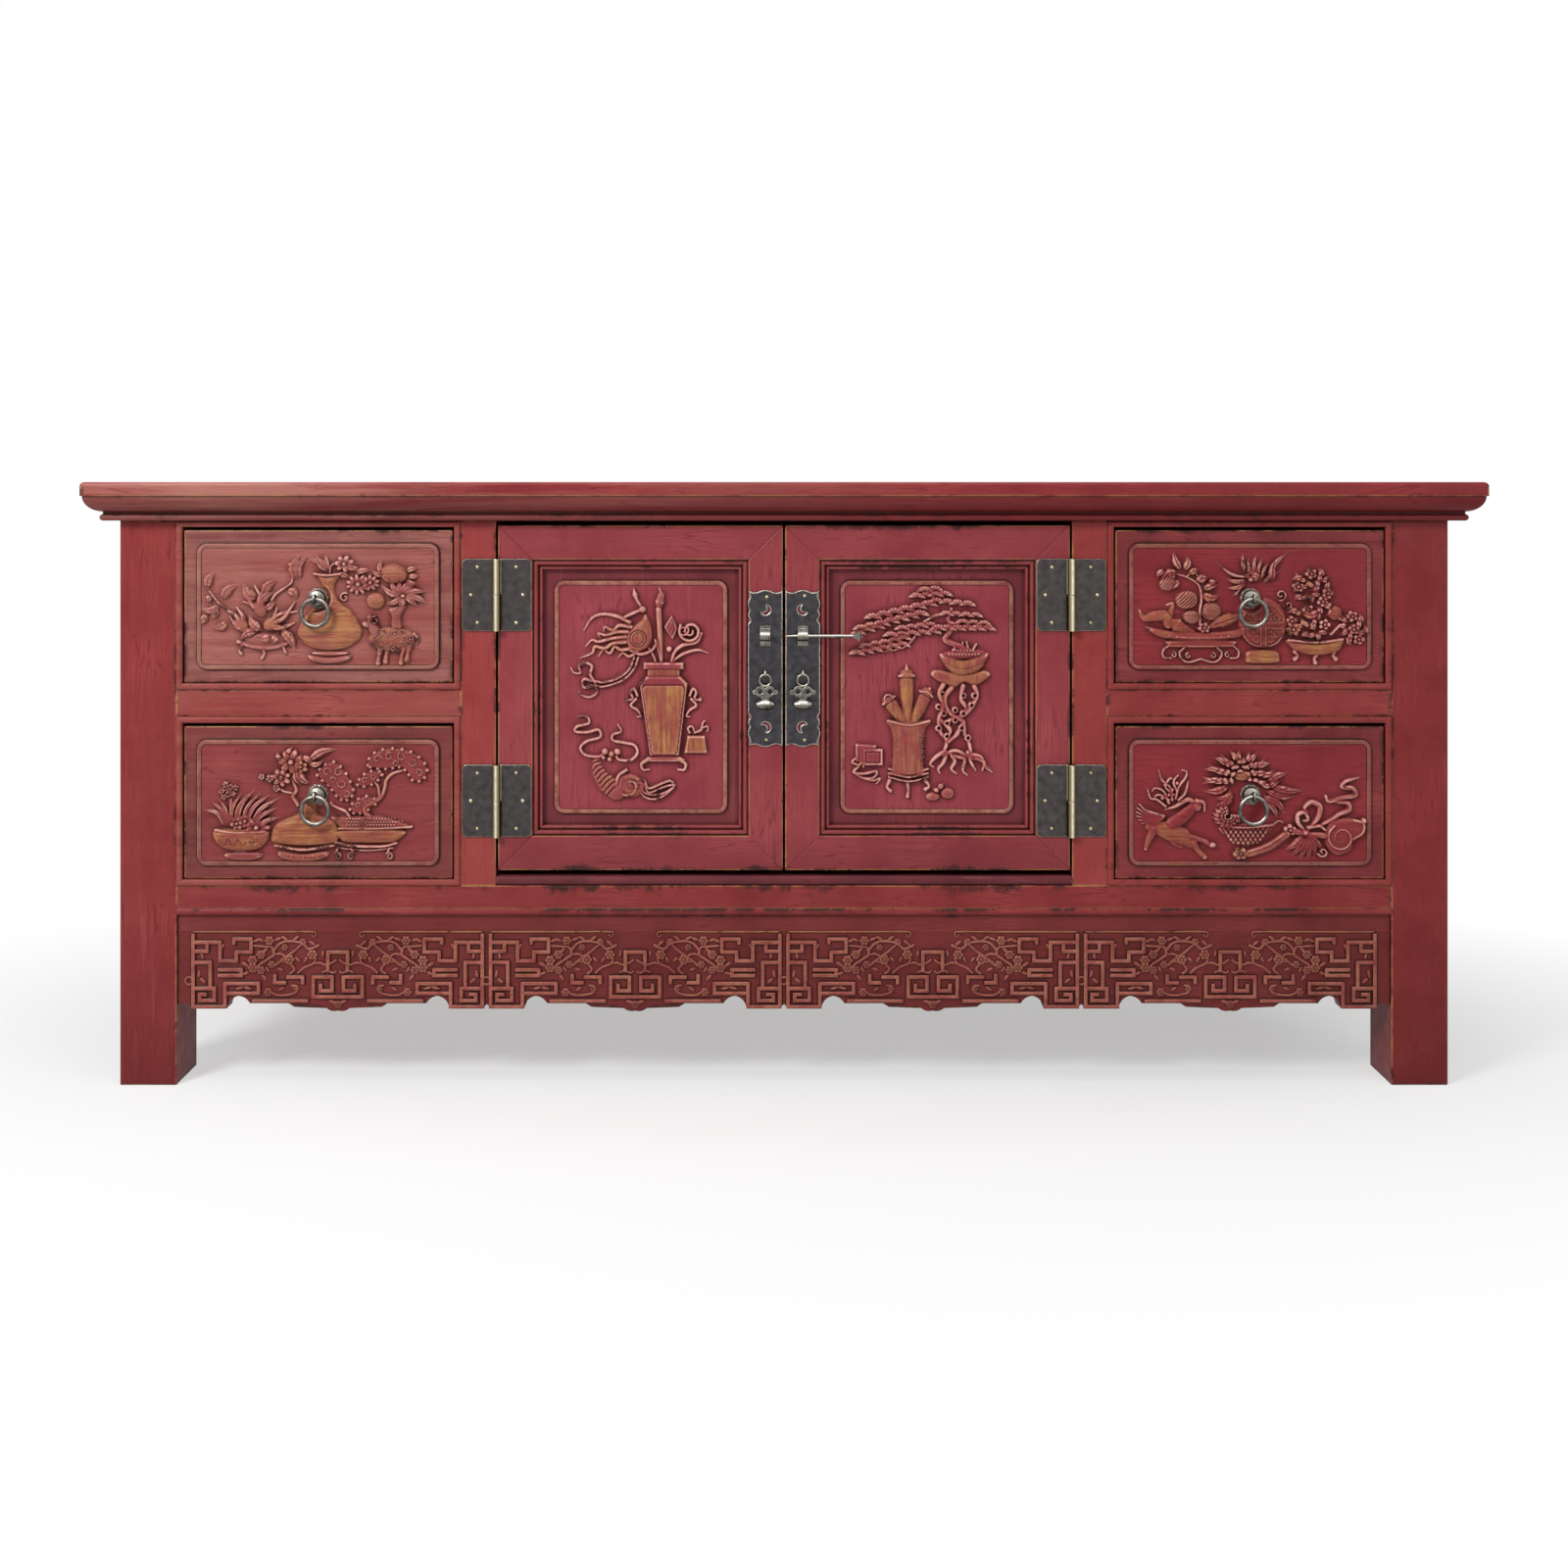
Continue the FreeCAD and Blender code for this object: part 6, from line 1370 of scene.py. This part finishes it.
def drive_nails():
    """Nail heads on the hinges' leaves and the lock plates."""
    tree = nail_tree()
    low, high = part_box("hinge_pins")
    pin = high[0] - PIN_RADIUS * MM
    half = HINGE_HEIGHT / 2 * MM
    leaf_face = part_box("door_left_lock_plate")[0][1]
    spots = {"cabinet": [], "door_left": [], "door_right": []}
    for side_name, side in SIDES:
        for middle in (low[2] + half, high[2] - half):
            for body, away in (("cabinet", 1), (f"door_{side_name}", -1)):
                for across, up in LEAF_NAILS:
                    x = side * (pin + away * (LEAF_MIDDLE + across) * MM)
                    spots[body].append((x, leaf_face, middle + up * MM))
    for x, y in PLATE_NAILS:
        body = "door_left" if x < MIDDLE_PIXEL else "door_right"
        spots[body].append(((x - MIDDLE_PIXEL) * MM_PER_PIXEL * MM, leaf_face,
                            (FLOOR_PIXEL - y) * MM_PER_PIXEL * MM))
    for body, places in spots.items():
        mesh = bpy.data.meshes.new(f"{body}_nails")
        mesh.from_pydata(places, [], [])
        grown(f"{body}_nails", mesh, tree, {"Head radius": NAIL_RADIUS * MM, "Head rise": NAIL_RISE * MM,
                                            "Material": MATERIALS["nail"]}, body)


VINE_SIZES = ("thick", "bloom", "leaf", "boss", "turn")     # what the vine's points say of themselves


def vine_tree():
    """Round stems along the lines; petals, leaves and rings on the points that ask for them."""
    tree, given = new_tree("apron_vine", ("Petal share", "Relief"))
    mesh = given["Geometry"]
    asked = {name: add(tree, "GeometryNodeInputNamedAttribute", {"Name": name}, data_type="FLOAT")
             for name in VINE_SIZES}

    def on_points(shape, name):
        """Copies of a flat unit shape, sized and turned by the points' own attributes."""
        wanted = add(tree, "FunctionNodeCompare", {0: asked[name], 1: 0.0}, operation="GREATER_THAN")
        turn = add(tree, "ShaderNodeCombineXYZ", {"Y": asked["turn"]})
        size = add(tree, "ShaderNodeVectorMath", {0: (1, 1, 1), "Scale": asked[name]}, operation="SCALE")
        return add(tree, "GeometryNodeInstanceOnPoints",
                   {"Points": mesh, "Selection": wanted, "Instance": shape, "Rotation": turn,
                    "Scale": size})

    lines = add(tree, "GeometryNodeMeshToCurve", {"Mesh": mesh})
    lines = add(tree, "GeometryNodeCurveSplineType", {"Curve": lines}, spline_type="CATMULL_ROM")
    lines = add(tree, "GeometryNodeSetCurveRadius", {"Curve": lines, "Radius": asked["thick"]})
    section = add(tree, "GeometryNodeCurvePrimitiveCircle", {"Resolution": 7, "Radius": 1.0})
    stems = add(tree, "GeometryNodeCurveToMesh",
                {"Curve": lines, "Profile Curve": section, "Scale": asked["thick"], "Fill Caps": True})

    ball = add(tree, "GeometryNodeMeshUVSphere", {"Segments": 10, "Rings": 6, "Radius": 1.0})
    flat = add(tree, "ShaderNodeCombineXYZ",
               {"X": given["Petal share"], "Y": given["Relief"], "Z": given["Petal share"]})
    ring = add(tree, "GeometryNodeMeshCircle", {"Vertices": 6, "Radius": 0.62})
    ring = add(tree, "GeometryNodeTransform",
               {"Geometry": ring, "Rotation": (math.radians(90), 0, 0)})
    petals = add(tree, "GeometryNodeInstanceOnPoints", {"Points": ring, "Instance": ball, "Scale": flat})
    eye = add(tree, "GeometryNodeTransform", {"Geometry": ball, "Scale": (0.34, 0.55, 0.34)})
    flower = add(tree, "GeometryNodeJoinGeometry")
    for shape in (petals, eye):
        tree.links.new(shape, flower.node.inputs[0])
    blade = add(tree, "GeometryNodeTransform", {"Geometry": ball, "Scale": (1.0, 0.3, 0.36)})
    hoop = add(tree, "GeometryNodeCurvePrimitiveCircle", {"Resolution": 24, "Radius": 1.0})
    wire = add(tree, "GeometryNodeCurvePrimitiveCircle", {"Resolution": 7, "Radius": 0.32})
    boss = add(tree, "GeometryNodeCurveToMesh", {"Curve": hoop, "Profile Curve": wire})
    boss = add(tree, "GeometryNodeTransform",
               {"Geometry": boss, "Rotation": (math.radians(90), 0, 0)})

    whole = add(tree, "GeometryNodeJoinGeometry")
    for shape in (stems, on_points(flower, "bloom"), on_points(blade, "leaf"), on_points(boss, "boss")):
        tree.links.new(shape, whole.node.inputs[0])
    return close_tree(tree, whole, given)


APRON_UNITS = 4
APRON_END = 15          # from the board's end to the first unit
APRON_FOOT = 93         # the board's lowest point over the floor
APRON_BACK = 20         # thickness of the board behind the fret
VINE_LIFT = 0.7         # the stems' middle in front of the apron's face
# Half a unit of the apron, in millimetres from its separator and up from its foot, as its fret is drawn:
# stems (half-width, line), blossoms (along, up, size), leaves (along, up, size, lean) and the boss.
VINE_STEMS = (
    (1.9, ((84, 51), (88, 55), (96, 60), (104, 66), (104, 71), (112, 80), (123, 82.5), (139, 80), (147, 73),
           (160, 78))),
    (1.6, ((104, 66), (101.5, 75), (91.5, 76), (79, 77))),
    (1.6, ((104, 66), (112, 67), (118, 64))),
    (1.6, ((105, 52), (114, 60), (127, 69), (137, 78))),
    (1.6, ((123, 42), (129, 48), (122, 56), (112, 58))),
    (1.6, ((133, 43), (141, 50), (152, 55), (155, 62), (151, 66))),
    (1.5, ((152, 55), (160, 56), (167, 53.5), (175, 56), (181, 60))),
    (1.4, ((163, 44), (170, 46.5), (176, 43.5), (181, 46))),
    (1.6, ((96, 24), (106, 17), (120, 16.5), (131, 20), (132, 27), (125, 28))),
    (1.1, ((5, 94), (60, 94), (110, 94), (150, 94), (155, 91.5), (153.5, 88), (150.5, 89.5), (151.5, 91.5))),
)
BLOSSOMS = ((78, 59, 6.5), (78, 50, 6.5), (88, 66, 6), (88, 47, 5.5), (98.5, 83, 6), (101, 54, 5),
            (123, 60, 6.5), (117, 75, 4.5), (151, 66, 6.5), (97, 20, 5.5), (139, 81, 5), (131, 24, 4),
            (182, 5, 5))
LEAVES = ((93, 71, 6, 50), (109, 85, 5.5, 20), (117, 86, 5.5, -30), (131, 86, 5.5, 35), (151, 80, 5.5, -40),
          (96, 48, 5, 120), (112, 48, 5, -20), (143, 60, 5, 60), (113, 24, 5, 30), (133, 60, 5, -40),
          (92, 38, 5.5, -50), (69, 54, 6, 150), (69, 43, 5.5, 200), (164, 67, 4.6, 80), (176, 8, 6, 160),
          (62, 25, 6, 15), (72, 25, 6, 165), (16, 64, 5, 100), (12, 42, 5.5, 80), (17, 34, 5.5, 140),
          (41, 76, 4.5, 60), (82, 83, 5, 20), (88, 84, 5, -20))
BOSS = (0, 34, 4.6)


def vine_mesh():
    """The stems' lines and the ornaments' points of all the apron's units, with their sizes."""
    low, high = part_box("apron_front")
    face = high[1] - APRON_BACK * MM
    unit = 2 * (high[0] - APRON_END * MM) / APRON_UNITS
    places = []
    edges = []
    sizes = {name: [] for name in VINE_SIZES}

    def put(start, away, along, up, **given):
        """One point, with the sizes that are given and no others."""
        places.append((start + away * along * MM, face - VINE_LIFT * MM, (APRON_FOOT + up) * MM))
        for name, row in sizes.items():
            row.append(given.get(name, 0) * (1 if name == "turn" else MM))

    for index in range(APRON_UNITS):
        left = low[0] + APRON_END * MM + unit * index
        for start, away in ((left, 1), (left + unit, -1)):
            for thick, line in VINE_STEMS:
                first = len(places)
                for along, up in line:
                    put(start, away, along, up, thick=thick)
                edges += [(k, k + 1) for k in range(first, len(places) - 1)]
            for along, up, size in BLOSSOMS:
                put(start, away, along, up, bloom=size)
            for along, up, size, lean in LEAVES:
                put(start, away, along, up, leaf=size, turn=-math.radians(lean if away > 0 else 180 - lean))
        put(left, 1, *BOSS[:2], boss=BOSS[2])
    mesh = bpy.data.meshes.new("apron_vine")
    mesh.from_pydata(places, edges, [])
    for name, row in sizes.items():
        mesh.attributes.new(name, "FLOAT", "POINT").data.foreach_set("value", row)
    return mesh


PETAL_SHARE = 0.42      # a petal's half-width in its flower's size
PETAL_RELIEF = 0.36


def grow_vine():
    """The vine between the bars of the apron's fret."""
    values = {"Petal share": PETAL_SHARE, "Relief": PETAL_RELIEF, "Material": MATERIALS["vine"]}
    grown("apron_vine", vine_mesh(), vine_tree(), values, "cabinet")


bpy.context.scene.view_settings.view_transform = "Standard"
place_camera()
lay_floor()
light_studio()
dress_solids()
carve_drawers()
carve_doors()
drive_nails()
grow_vine()
